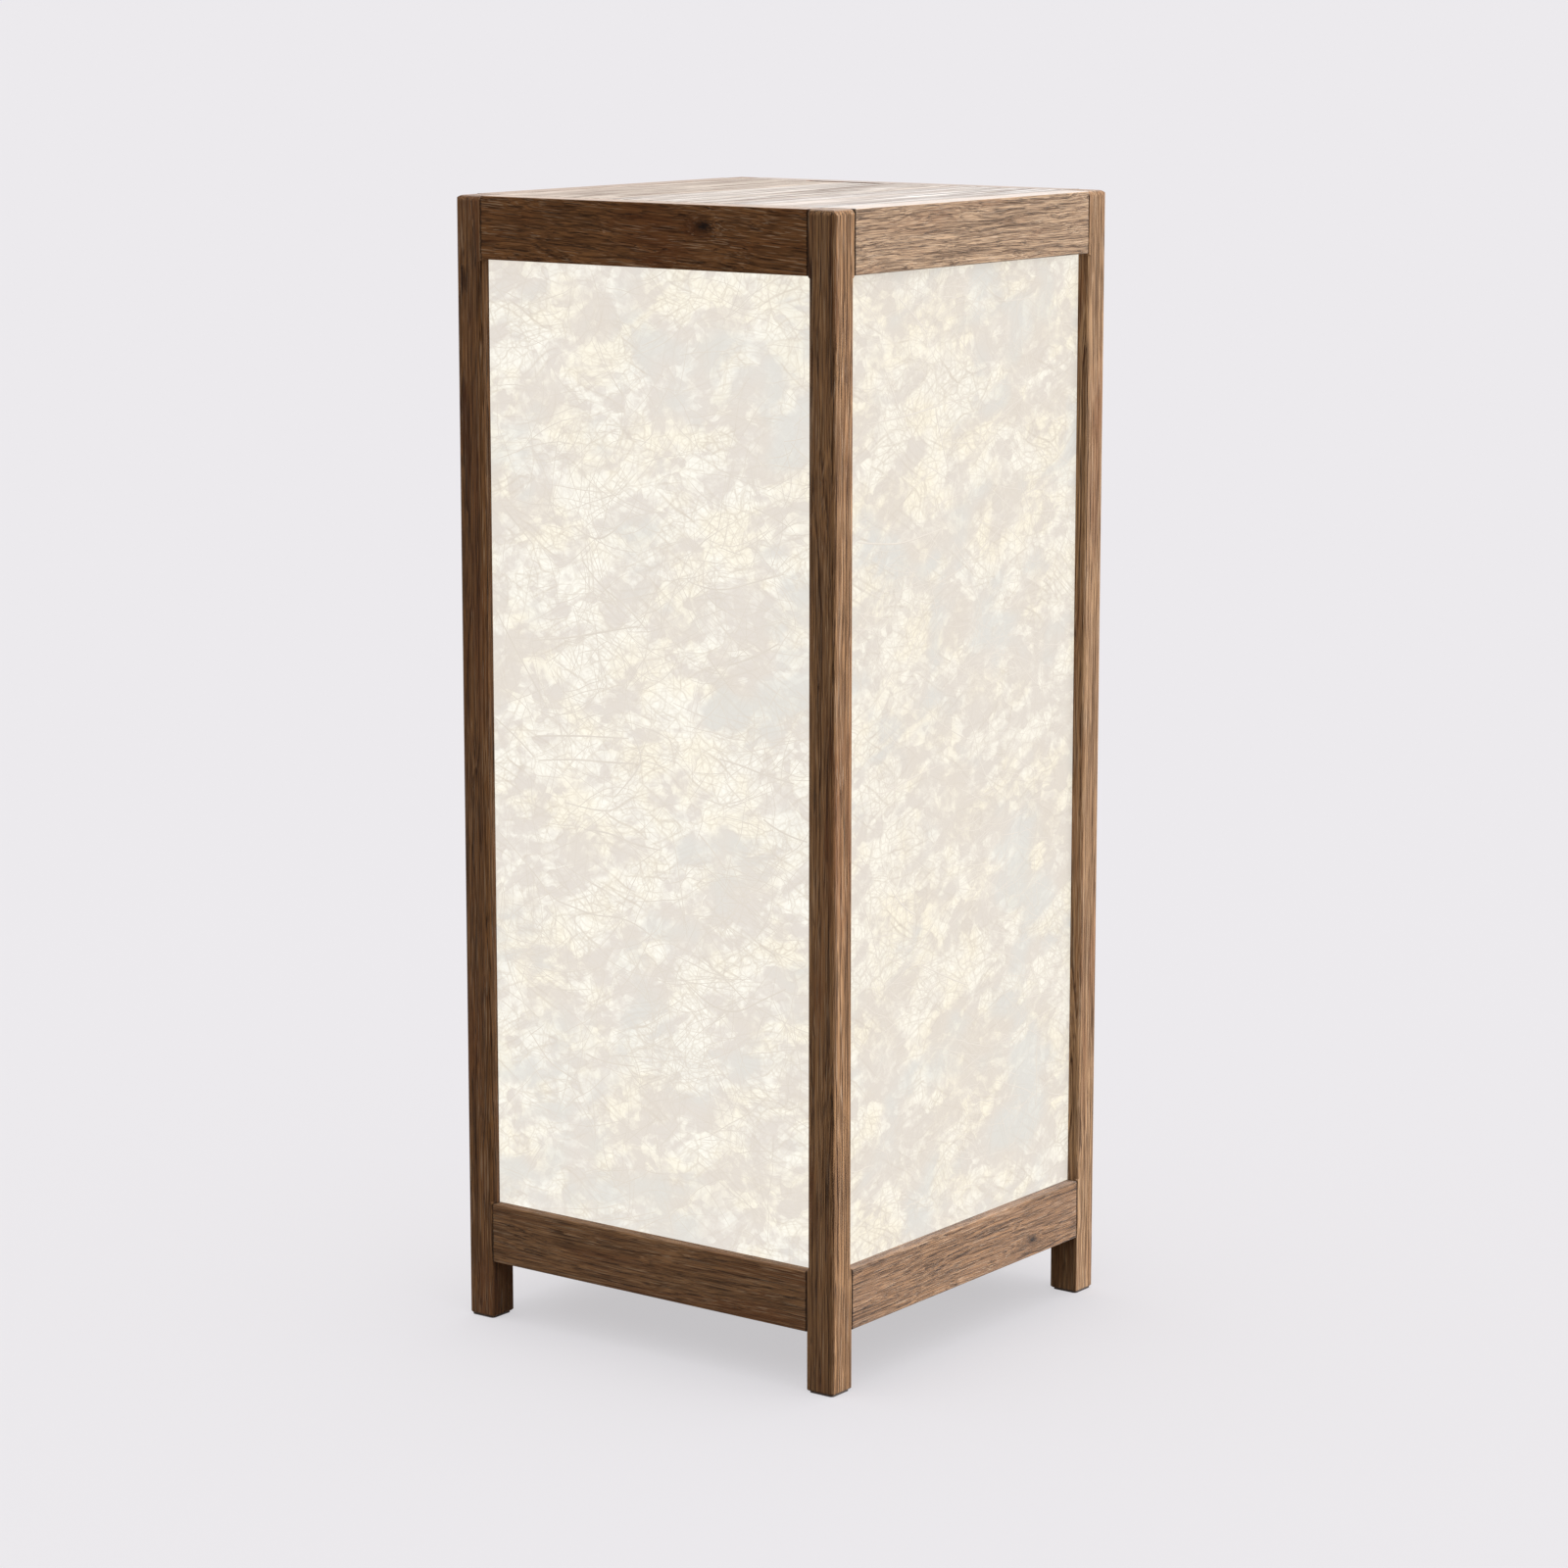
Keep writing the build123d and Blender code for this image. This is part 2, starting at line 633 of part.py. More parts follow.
def switch_housing():
    """The switch's body, its bezel under the channel's floor and its pivot holes."""
    half_length, half_width = rocker_opening()
    wall = SWITCH_WALL + BEZEL_LIP
    bezel = block(
        (-half_length - wall, half_length + wall),
        (-half_width - wall, half_width + wall),
        (-BEZEL_T, 0),
    )
    bezel = chamfer(bezel.faces().sort_by(Axis.Z)[0].edges(), BEZEL_T / 2)
    body = bezel + switch_body_blank(0.0)
    roof = PIVOT_DEPTH + ROCKER_BACK + ROCKER_LENGTH / 2 * sin(radians(ROCKER_TILT))
    body = body - block((-half_length, half_length), (-half_width, half_width), (-BEZEL_T, roof))
    pivot = Pos(0, 0, PIVOT_DEPTH) * Rot(90, 0, 0) * Cylinder(PIVOT_R + PIVOT_FIT, 4 * half_width)
    return Pos(0, SWITCH_Y, CHANNEL_Z) * (body - pivot)


def switch_rocker():
    """The rocker and its pivot pins, pressed in on the right: the lamp is on."""
    half = ROCKER_LENGTH / 2
    tip = -ROCKER_DEPTH - ROCKER_TIP_RISE
    outline = Polygon(
        (-half, tip),
        (0, -ROCKER_DEPTH),
        (half, tip),
        (half, tip + ROCKER_DEPTH),
        (ROCKER_HEEL / 2, ROCKER_BACK),
        (-ROCKER_HEEL / 2, ROCKER_BACK),
        (-half, tip + ROCKER_DEPTH),
        align=None,
    )
    paddle = extrude(Plane.XZ * outline, amount=ROCKER_WIDTH / 2, both=True)
    _, half_width = rocker_opening()
    pins = Rot(90, 0, 0) * Cylinder(PIVOT_R, 2 * (half_width + SWITCH_WALL - PIVOT_END_GAP))
    return Pos(0, SWITCH_Y, PIVOT_Z) * Rot(0, -ROCKER_TILT, 0) * (paddle + pins)


def switch_terminals():
    """The two spade blades on the switch's back."""
    half_width = BLADE_WIDTH / 2
    blade = block((-half_width, half_width), (-BLADE_T / 2, BLADE_T / 2), (0, BLADE_LENGTH))
    return placed([Pos(side * BLADE_SPREAD, SWITCH_Y, BLADE_Z) for side in (-1, 1)], blade)


def bush_place():
    """The cord bush's seat on the outer side of the channel's back wall, its axis out."""
    return Pos(0, CHANNEL_TAIL, CHANNEL_Z + CHANNEL_HEIGHT / 2) * Rot(-90, 0, 0)


def cord_bush():
    """The snap-in bush that the cord comes in by."""
    neck = -CHANNEL_T
    return bush_place() * turned(
        (BUSH_BORE_R, neck - BUSH_BARB_LENGTH),
        (BUSH_NECK_R, neck - BUSH_BARB_LENGTH),
        (BUSH_BARB_R, neck),
        (BUSH_NECK_R, neck),
        (BUSH_NECK_R, 0),
        (BUSH_FLANGE_R, 0),
        (BUSH_FLANGE_R, BUSH_FLANGE_T / 2),
        (BUSH_FLANGE_R - BUSH_FLANGE_T / 2, BUSH_FLANGE_T),
        (BUSH_BORE_R, BUSH_FLANGE_T),
    )


def lamp_lead():
    """The lead from a switch blade along the channel and up the pipe to the lampholder."""
    start = SWITCH_Y + BLADE_T / 2
    high = BLADE_Z + BLADE_LENGTH / 2 + LEAD_LIFT
    low = CHANNEL_Z + CHANNEL_T + LEAD_LIFT + LEAD_R
    third = (0 - start) / 3
    route = FilletPolyline(
        (BLADE_SPREAD, start, high),
        (BLADE_SPREAD, start + third, high),
        (0, start + 2 * third, low),
        (0, 0, low),
        (0, 0, CORE_Z),
        radius=[LEAD_SWAY_R, LEAD_SWAY_R, LEAD_BEND_R],
    )
    section = Plane(origin=route @ 0, z_dir=route % 0) * Circle(LEAD_R)
    return sweep(section, path=route)


# ================================================================================ pipe and flange
def pipe_flange():
    """The turned flange that stands the pipe on the base board."""
    bore = PIPE_R + PIPE_FIT
    outline = Curve() + [
        Line((bore, 0), (FLANGE_R, 0)),
        Line((FLANGE_R, 0), (FLANGE_R, FLANGE_T / 2)),
        Line((FLANGE_R, FLANGE_T / 2), (FLANGE_R - FLANGE_T / 2, FLANGE_T)),
        Line((FLANGE_R - FLANGE_T / 2, FLANGE_T), (FLANGE_BOSS_R + FLANGE_FILLET_R, FLANGE_T)),
        RadiusArc(
            (FLANGE_BOSS_R + FLANGE_FILLET_R, FLANGE_T),
            (FLANGE_BOSS_R, FLANGE_T + FLANGE_FILLET_R),
            -FLANGE_FILLET_R,
        ),
        Line((FLANGE_BOSS_R, FLANGE_T + FLANGE_FILLET_R), (FLANGE_BOSS_R, FLANGE_BOSS_H)),
        Line((FLANGE_BOSS_R, FLANGE_BOSS_H), (bore, FLANGE_BOSS_H)),
        Line((bore, FLANGE_BOSS_H), (bore, 0)),
    ]
    flange = Pos(0, 0, BOARD_TOP) * revolve(Plane.XZ * make_face(outline), Axis.Z, 360)
    return cut_at(flange, flange_screw_places(), short_screw(SCREW_FIT))


def hex_nut(low):
    """A thin nut on the pipe."""
    outline = RegularPolygon(NUT_ACROSS / 2, 6, major_radius=False)
    blank = Pos(0, 0, low) * extrude(outline, amount=NUT_T)
    return blank - cylinder(PIPE_R + PIPE_FIT, low, low + NUT_T)


def ring(outer_r, inner_r, low, high):
    """A tube or washer on the lamp's axis."""
    return cylinder(outer_r, low, high) - cylinder(inner_r, low, high)


# ==================================================================================== lampholder
def thread(crest_r, root_r, rising):
    """The rolled thread's outline, as one ridge for each turn."""
    ridge = [(root_r, 0.0), (root_r, 0.2), (crest_r, 0.45), (crest_r, 0.55), (root_r, 0.8)]
    points = []
    for turn in range(THREAD_TURNS):
        points += [(r, THREAD_Z + (turn + share) * THREAD_PITCH) for r, share in ridge]
    points.append((root_r, THREAD_TOP))
    return points if rising else points[::-1]


def holder_cap():
    """The lampholder's lower dome, with its hub round the pipe."""
    bore = PIPE_R + PIPE_FIT
    hub_top = CAP_Z + CAP_HUB_H
    shoulder = hub_top + CAP_DOME_H / 2
    return turned(
        (bore, CAP_Z),
        (CAP_HUB_R, CAP_Z),
        (CAP_HUB_R, hub_top - CAP_WALL),
        (HOLDER_R - CAP_WALL, shoulder - CAP_WALL),
        (HOLDER_R, shoulder),
        (HOLDER_R, CORE_Z),
        (HOLDER_R - CAP_WALL, CORE_Z),
        (HOLDER_R - CAP_WALL, shoulder),
        (bore, hub_top),
    )


def holder_core():
    """The porcelain block that carries the contacts."""
    outer = HOLDER_R - SKIRT_WALL - CORE_GAP
    rim = HOLDER_R - CAP_WALL / 2
    return turned(
        (0, CORE_Z),
        (rim, CORE_Z),
        (rim, CORE_Z + CAP_WALL),
        (outer, CORE_Z + CAP_WALL),
        (outer, CORE_TOP),
        (0, CORE_TOP),
    )


def holder_skirt():
    """The lampholder's outer sleeve, with a grip rib and an inturned lip."""
    inner = HOLDER_R - SKIRT_WALL
    low = CORE_Z + CAP_WALL
    top = low + SKIRT_H
    rib_low = low + SKIRT_RIB_H
    return turned(
        (inner, low),
        (HOLDER_R, low),
        (HOLDER_R, rib_low),
        (HOLDER_R + SKIRT_RIB_T, rib_low + SKIRT_RIB_T),
        (HOLDER_R + SKIRT_RIB_T, rib_low + SKIRT_RIB_H),
        (HOLDER_R, rib_low + SKIRT_RIB_H + SKIRT_RIB_T),
        (HOLDER_R, top - SKIRT_WALL),
        (HOLDER_R - SKIRT_WALL / 2, top),
        (SKIRT_LIP_R, top),
        (SKIRT_LIP_R, top - SKIRT_WALL),
        (inner, top - SKIRT_WALL),
    )


def holder_screw_shell():
    """The thin brass shell that the bulb screws into."""
    crest = THREAD_CREST_R + SHELL_GAP
    root = THREAD_ROOT_R + SHELL_GAP
    inside = thread(crest, root, rising=False)
    outside = thread(crest + SHELL_T, root + SHELL_T, rising=True)
    return turned((root, CORE_TOP), (root + SHELL_T, CORE_TOP), *outside, *inside)


def holder_contact():
    """The sprung strip under the bulb's tip."""
    half = CONTACT_LENGTH / 2
    crown = CONTACT_CROWN / 2
    foot = CONTACT_FEET / 2
    under = CONTACT_RISE - CONTACT_T
    outline = Polygon(
        (-half, 0),
        (-foot, 0),
        (-crown, under),
        (crown, under),
        (foot, 0),
        (half, 0),
        (half, CONTACT_T),
        (foot, CONTACT_T),
        (crown, CONTACT_RISE),
        (-crown, CONTACT_RISE),
        (-foot, CONTACT_T),
        (-half, CONTACT_T),
        align=None,
    )
    return Pos(0, 0, CORE_TOP) * extrude(Plane.XZ * outline, amount=CONTACT_WIDTH / 2, both=True)


# ========================================================================================== bulb
def bulb_cap():
    """The threaded cap."""
    outside = thread(THREAD_CREST_R, THREAD_ROOT_R, rising=True)
    return turned((CAP_BORE_R, THREAD_Z), *outside, (CAP_BORE_R, THREAD_TOP))


def bulb_insulator():
    """The glass cone between the cap and the contact button."""
    low = BULB_TIP_Z + BUTTON_H
    high = THREAD_Z + INSULATOR_PLUG_H
    return turned((0, low), (BUTTON_R, low), (CAP_BORE_R, THREAD_Z), (CAP_BORE_R, high), (0, high))


def bulb_button():
    """The contact button at the bulb's tip."""
    low = BULB_TIP_Z
    waist = low + BUTTON_H / 2
    high = low + BUTTON_H
    return turned((0, low), (BUTTON_TIP_R, low), (BUTTON_R, waist), (BUTTON_R, high), (0, high))


def bulb_collar():
    """The flared housing between the cap and the globe."""
    neck_top = COLLAR_Z + COLLAR_NECK_H
    flare = Spline(
        (COLLAR_NECK_R, neck_top),
        (COLLAR_TOP_R, COLLAR_TOP),
        tangents=[(0, 1), (1, 1)],
    )
    outline = Curve() + [
        Line((0, THREAD_TOP), (THREAD_ROOT_R, THREAD_TOP)),
        Line((THREAD_ROOT_R, THREAD_TOP), (COLLAR_NECK_R, COLLAR_Z)),
        Line((COLLAR_NECK_R, COLLAR_Z), (COLLAR_NECK_R, neck_top)),
        flare,
        Line((COLLAR_TOP_R, COLLAR_TOP), (0, COLLAR_TOP)),
        Line((0, COLLAR_TOP), (0, THREAD_TOP)),
    ]
    return revolve(Plane.XZ * make_face(outline), Axis.Z, 360)


def bulb_globe():
    """The opal globe, open where it sits on the collar."""
    shell = Sphere(GLOBE_R) - Sphere(GLOBE_R - GLOBE_WALL)
    shell = Pos(0, 0, BULB_CENTRE_Z) * shell
    return shell - block((-GLOBE_R, GLOBE_R), (-GLOBE_R, GLOBE_R), (0, COLLAR_TOP))


# ====================================================================================== assembly
def frame_nodes():
    """The posts and what belongs to the timber frame."""
    nodes = {}
    glides = []
    for name, (x, y, angle) in CORNERS.items():
        place = Pos(x, y, 0) * Rot(0, 0, angle)
        nodes[f"post_{name}"] = place * post()
        glides.append(place * glide())
    nodes["foot_glides"] = Compound(glides)
    nodes.update(side_nodes())
    return nodes


def lid_nodes():
    """The lid and what carries it."""
    nodes = {f"lid_board_{name}": lid_board(index) for index, name in enumerate(LID_BOARDS)}
    nodes["lid_batten_front"] = batten(-1)
    nodes["lid_batten_back"] = batten(1)
    nodes["lid_batten_screws"] = placed(batten_screw_places(), long_screw())
    nodes["lid_ledgers_long"], nodes["lid_ledgers_short"] = lid_ledgers()
    return nodes


def base_nodes():
    """The base board, the channel under it, the switch and the cord bush."""
    long_ledgers, short_ledgers = base_ledgers()
    return {
        "base_board": base_board(),
        "base_board_screws": placed(board_screw_places(), long_screw()),
        "base_ledgers_long": long_ledgers,
        "base_ledgers_short": short_ledgers,
        "wiring_channel": wiring_channel(),
        "channel_screws": placed(channel_screw_places(), short_screw()),
        "switch_housing": switch_housing(),
        "switch_rocker": switch_rocker(),
        "switch_terminals": switch_terminals(),
        "cord_bush": cord_bush(),
    }


def lamp_nodes():
    """The pipe, the lampholder, the bulb and their lead."""
    return {
        "lamp_pipe": ring(PIPE_R, PIPE_BORE_R, PIPE_LOW, PIPE_TOP),
        "pipe_flange": pipe_flange(),
        "flange_screws": placed(flange_screw_places(), short_screw()),
        "pipe_nuts": Compound([hex_nut(WASHER_Z - NUT_T), hex_nut(CAP_Z - NUT_T)]),
        "pipe_washer": ring(WASHER_R, PIPE_R + PIPE_FIT, WASHER_Z, BOARD_Z),
        "lamp_lead": lamp_lead(),
        "holder_cap": holder_cap(),
        "holder_core": holder_core(),
        "holder_skirt": holder_skirt(),
        "holder_screw_shell": holder_screw_shell(),
        "holder_contact": holder_contact(),
        "bulb_cap": bulb_cap(),
        "bulb_insulator": bulb_insulator(),
        "bulb_button": bulb_button(),
        "bulb_collar": bulb_collar(),
        "bulb_globe": bulb_globe(),
    }


def main():
    """Write each node to its own STEP file."""
    os.makedirs("parts", exist_ok=True)
    for nodes in (frame_nodes(), lid_nodes(), base_nodes(), lamp_nodes()):
        for name, shape in nodes.items():
            export_step(shape, f"parts/{name}.step")


main()
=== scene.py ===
"""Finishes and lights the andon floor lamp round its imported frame.

Metres, +Z up, the origin on the floor under the lamp's centre. The front looks along -Y and the
right side along +X.
"""

import logging
import math
import random
from dataclasses import dataclass, field, replace
from enum import Enum
from functools import cache
from typing import Mapping, Optional, Sequence, Union

import bpy
from mathutils import Euler, Matrix, Vector
from mathutils.bvhtree import BVHTree


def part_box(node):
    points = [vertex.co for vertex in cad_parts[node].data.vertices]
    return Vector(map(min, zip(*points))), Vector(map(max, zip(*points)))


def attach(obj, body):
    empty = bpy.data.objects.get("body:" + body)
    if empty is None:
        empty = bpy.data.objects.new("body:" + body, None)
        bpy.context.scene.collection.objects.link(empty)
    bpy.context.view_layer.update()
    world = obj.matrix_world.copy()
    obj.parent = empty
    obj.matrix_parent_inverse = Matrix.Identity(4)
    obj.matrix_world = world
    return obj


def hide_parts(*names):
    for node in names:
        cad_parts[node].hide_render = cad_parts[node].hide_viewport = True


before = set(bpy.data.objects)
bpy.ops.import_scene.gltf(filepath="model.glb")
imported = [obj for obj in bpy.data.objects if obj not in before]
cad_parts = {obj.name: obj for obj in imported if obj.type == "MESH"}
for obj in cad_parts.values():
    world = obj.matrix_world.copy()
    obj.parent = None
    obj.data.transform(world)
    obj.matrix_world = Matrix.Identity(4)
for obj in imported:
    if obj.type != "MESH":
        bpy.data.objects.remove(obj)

LOG = logging.getLogger("andon_lamp")

Point = tuple[float, float, float]
Colour = tuple[float, float, float, float]
Run = tuple[tuple[float, float], ...]  # places across and up, in millimetres
Tangle = tuple[float, float, float]  # place across and up and spread, in millimetres
Patch = tuple[float, float, float, float]  # place across and up, radius, lift
Socket = bpy.types.NodeSocket
Plug = Union[Socket, float, Sequence[float]]

MM = 0.001
SIDES = ("front", "right", "back", "left")
PAPER_HALF = 0.164  # middle of a side to the post beside its paper
PAPER_LOW = 0.100  # upper edge of the bottom rails
PAPER_HIGH = 0.889  # lower edge of the top rails
RAILS_LOW = 0.050  # underside of the bottom rails
BLEACH_AND_GLARE_LEVELS = (0.930, 0.936)  # levels between which the top's bleaching and painted glare set in
ORIGIN: Point = (0.0, 0.0, 0.0)
FAR_AWAY: Point = (9.0, 9.0, 9.0)  # where a piece without a knot has it


def tint(red: int, green: int, blue: int) -> Colour:
    """Turns an 8-bit screen colour into a linear one.

    Args:
        red: Red, 0 to 255.
        green: Green, 0 to 255.
        blue: Blue, 0 to 255.

    Returns:
        The linear colour with an alpha of 1.
    """
    shares = [channel / 255 for channel in (red, green, blue)]
    lit = [s / 12.92 if s <= 0.04045 else ((s + 0.055) / 1.055) ** 2.4 for s in shares]
    return (lit[0], lit[1], lit[2], 1.0)


def metres(run: Run) -> list[tuple[float, float]]:
    """Turns a course in millimetres into one in metres."""
    return [(across * MM, up * MM) for across, up in run]


# Colour of the shade painted into the gap where a rail meets a post.
JOINT_SHADE = tint(30, 18, 11)


class Kind(Enum):
    """Socket types of a shared effect."""

    NUMBER = "NodeSocketFloat"
    PLACE = "NodeSocketVector"
    COLOUR = "NodeSocketColor"

    @classmethod
    def of(cls, value: Union[float, Sequence[float]]) -> "Kind":
        """Tells a plain value's kind by how many numbers it has."""
        sizes = {3: cls.PLACE, 4: cls.COLOUR}
        return sizes[len(value)] if isinstance(value, tuple) else cls.NUMBER


class Grain(Enum):
    """Turn that lays a pattern's first axis along a piece."""

    ALONG_X = (0.0, 0.0, 0.0)
    ALONG_Y = (0.0, 0.0, -math.pi / 2)
    ALONG_Z = (0.0, math.pi / 2, 0.0)

    def leaning(self, lean: float) -> Point:
        """Gives the turn with the grain tipped a little about the Y axis."""
        return (self.value[0], self.value[1] + lean, self.value[2])


# ---- Node building


class Graph:
    """Adds nodes to one tree and joins them."""

    def __init__(self, tree: bpy.types.NodeTree) -> None:
        """Empties the tree.

        Args:
            tree: The tree to build in.
        """
        self.tree = tree
        tree.nodes.clear()

    def plug(self, socket: Socket, value: Plug) -> None:
        """Joins or sets one input socket.

        Args:
            socket: The input.
            value: A socket to join, or a plain value.
        """
        if isinstance(value, Socket):
            self.tree.links.new(value, socket)
        else:
            socket.default_value = value

    def fill(self, node: bpy.types.Node, plugs: Mapping[Union[str, int], Plug]) -> None:
        """Joins or sets several inputs of a node, by name or index."""
        for key, value in plugs.items():
            self.plug(node.inputs[key], value)

    def add(
        self,
        kind: str,
        plugs: Optional[Mapping[Union[str, int], Plug]] = None,
        **settings: object,
    ) -> bpy.types.Node:
        """Adds one node.

        Args:
            kind: The node's Blender type.
            plugs: Values or sockets by input name or index.
            **settings: Attributes to set on the node.

        Returns:
            The new node.
        """
        node = self.tree.nodes.new(kind)
        for name, value in settings.items():
            setattr(node, name, value)
        self.fill(node, plugs or {})
        return node

    def math(self, operation: str, a: Plug, b: Plug = 0.0, c: Plug = 0.0) -> Socket:
        """Works out one number with a Math node."""
        return self.add("ShaderNodeMath", {0: a, 1: b, 2: c}, operation=operation).outputs[0]

    def times(self, a: Plug, b: Plug) -> Socket:
        """Multiplies two numbers."""
        return self.math("MULTIPLY", a, b)

    def plus(self, a: Plug, b: Plug) -> Socket:
        """Adds two numbers."""
        return self.math("ADD", a, b)

    def scaled(self, a: Plug, share: Plug, base: Plug) -> Socket:
        """Gives a times share, plus base."""
        return self.math("MULTIPLY_ADD", a, share, base)

    def vector(self, operation: str, a: Plug, b: Plug = ORIGIN) -> Socket:
        """Works out one vector with a Vector Math node."""
        return self.add("ShaderNodeVectorMath", {0: a, 1: b}, operation=operation).outputs[0]

    def stretched(self, vector: Plug, shares: Plug) -> Socket:
        """Multiplies a vector axis by axis."""
        return self.vector("MULTIPLY", vector, shares)

    def length(self, vector: Plug) -> Socket:
        """Measures a vector."""
        return self.add("ShaderNodeVectorMath", {0: vector}, operation="LENGTH").outputs[1]

    def millimetres(self, place: Plug) -> Socket:
        """Turns a place in metres into one in millimetres."""
        return self.stretched(place, (1 / MM, 1 / MM, 1 / MM))

    def turned(self, place: Plug, turn: Point, shift: Point = ORIGIN) -> Socket:
        """Turns a place, in radians about each axis, and then moves it."""
        plugs = {"Vector": place, "Rotation": turn, "Location": shift}
        return self.add("ShaderNodeMapping", plugs).outputs[0]

    def upward(self) -> Socket:
        """Gives how far the surface looks up, from -1 to 1."""
        return self.split(self.add("ShaderNodeNewGeometry").outputs["True Normal"])[2]

    def joined(self, x: Plug, y: Plug, z: Plug) -> Socket:
        """Joins three numbers to a vector."""
        return self.add("ShaderNodeCombineXYZ", {0: x, 1: y, 2: z}).outputs[0]

    def split(self, vector: Plug) -> tuple[Socket, ...]:
        """Splits a vector into its three numbers."""
        return tuple(self.add("ShaderNodeSeparateXYZ", {0: vector}).outputs)

    def noise(
        self, place: Plug, detail: float = 3.0, roughness: float = 0.5, scale: float = 1.0
    ) -> Socket:
        """Gives a soft noise about 0.5.

        Args:
            place: The place, one unit to a wave.
            detail: Octaves added.
            roughness: Strength of the finer octaves.
            scale: Waves to a unit.

        Returns:
            The noise's value.
        """
        plugs = {"Vector": place, "Scale": scale, "Detail": detail, "Roughness": roughness}
        return self.add("ShaderNodeTexNoise", plugs).outputs[0]

    def cells(self, place: Plug, feature: str, scale: float) -> bpy.types.Node:
        """Adds a flat Voronoi node of the given feature."""
        kind = {"feature": feature, "voronoi_dimensions": "2D"}
        return self.add("ShaderNodeTexVoronoi", {"Vector": place, "Scale": scale}, **kind)

    def eased(
        self, value: Plug, low: Plug, high: Plug, to_low: float = 0.0, to_high: float = 1.0
    ) -> Socket:
        """Maps a range smoothly, held at its ends.

        Args:
            value: The number to map.
            low: Value that gives to_low.
            high: Value that gives to_high.
            to_low: Lowest result.
            to_high: Highest result.

        Returns:
            The mapped number.
        """
        plugs = {0: value, 1: low, 2: high, 3: to_low, 4: to_high}
        return self.add("ShaderNodeMapRange", plugs, interpolation_type="SMOOTHSTEP").outputs[0]

    def mixed(self, share: Plug, a: Plug, b: Plug, blend: str = "MIX") -> Socket:
        """Mixes two colours.

        Args:
            share: How much of b.
            a: First colour.
            b: Second colour.
            blend: Blend mode.

        Returns:
            The mixed colour.
        """
        plugs = {0: share, 6: a, 7: b}
        kind = {"data_type": "RGBA", "blend_type": blend, "clamp_factor": True}
        return self.add("ShaderNodeMix", plugs, **kind).outputs[2]

    def blended(self, share: Plug, first: Socket, second: Socket) -> Socket:
        """Blends two shaders, by the share of the second."""
        return self.add("ShaderNodeMixShader", {0: share, 1: first, 2: second}).outputs[0]

    def bump(self, height: Plug, depth: float) -> Socket:
        """Turns a height, of which 1 stands for a depth in metres, into a normal."""
        return self.add("ShaderNodeBump", {"Distance": depth, "Height": height}).outputs[0]


class Surface(Graph):
    """The graph of one material, round a Principled shader.

    Attributes:
        material: The material.
        shader: Its shader.
        place: The Object coordinates, in metres.
    """

    def __init__(self, name: str) -> None:
        """Starts the material.

        Args:
            name: The material's name.
        """
        self.material = bpy.data.materials.new(name)
        self.material.use_nodes = True
        super().__init__(self.material.node_tree)
        self.shader = self.add("ShaderNodeBsdfPrincipled")
        self.add("ShaderNodeOutputMaterial", {0: self.shader.outputs[0]})
        self.place = self.add("ShaderNodeTexCoord").outputs["Object"]

    def finished(self, plugs: Mapping[str, Plug]) -> bpy.types.Material:
        """Fills in the shader and gives the material."""
        self.fill(self.shader, plugs)
        return self.material

    def backlit(
        self, colour: Plug, share: float, plugs: Mapping[str, Plug]
    ) -> bpy.types.Material:
        """Finishes a surface that glows in its colour, a painted light that stands for the lamp
        shining through it, and looks darker by the room's light.

        Args:
            colour: Its colour against the light.
            share: How much of that colour the room's light meets.
            plugs: The shader's other inputs.

        Returns:
            The material.
        """
        self.material.cycles.emission_sampling = "NONE"
        dull = self.mixed(1.0, colour, (share, share, share, 1.0), "MULTIPLY")
        own = {"Base Color": dull, "Emission Color": colour, "Specular IOR Level": 0.1}
        return self.finished({**own, **plugs})


class Effect:
    """A node group that several finishes share."""

    def __init__(
        self, name: str, inputs: Mapping[str, Plug], outputs: Mapping[str, Kind]
    ) -> None:
        """Makes the group and its sockets.

        Args:
            name: The group's name.
            inputs: First value of each input, which tells its kind.
            outputs: Kind of each output.
        """
        tree = bpy.data.node_groups.new(name, "ShaderNodeTree")
        for label, value in inputs.items():
            socket = tree.interface.new_socket(
                name=label, in_out="INPUT", socket_type=Kind.of(value).value
            )
            socket.default_value = value
        for label, kind in outputs.items():
            tree.interface.new_socket(name=label, in_out="OUTPUT", socket_type=kind.value)
        self.graph = Graph(tree)
        self.given = self.graph.add("NodeGroupInput").outputs
        self.result = self.graph.add("NodeGroupOutput")

    def give(self, **results: Plug) -> None:
        """Joins the group's outputs, by name."""
        self.graph.fill(self.result, results)

    def placed(self, surface: Surface, **plugs: Plug) -> bpy.types.NodeOutputs:
        """Puts the group into a material.

        Args:
            surface: The material's graph.
            **plugs: Values or sockets, with _ for a space in a name. The place is the
                surface's own unless it is given.

        Returns:
            The group node's outputs.
        """
        named = {label.replace("_", " "): value for label, value in plugs.items()}
        named.setdefault("Vector", surface.place)
        return surface.add("ShaderNodeGroup", named, node_tree=self.graph.tree).outputs


# ---- Shared effects


def seeded(graph: Graph, place: Plug, seed: Plug) -> Socket:
    """Moves a pattern's place by a seed.

    Args:
        graph: The graph to add to.
        place: The place in millimetres.
        seed: Any number.

    Returns:
        The moved place.
    """
    moved = [graph.times(seed, jump) for jump in (173.0, 61.0, 97.0)]
    return graph.vector("ADD", place, graph.joined(*moved))


class Drawn(Enum):
    """Figures drawn out along oak's grain.

    Each has its waves to a millimetre along and across the grain, its octaves and its shift.
    """

    STREAK = (0.022, 0.72, 3.0, 0.0)
    MID = (0.012, 0.27, 2.0, 7.3)
    THREAD = (0.045, 1.7, 2.0, 13.7)
    BAND = (0.005, 0.085, 3.0, 0.0)
    PATCH = (0.010, 0.034, 3.0, 0.0)
    DASH = (0.050, 1.05, 1.0, 23.1)
    GLINT = (0.034, 0.95, 1.0, 31.9)


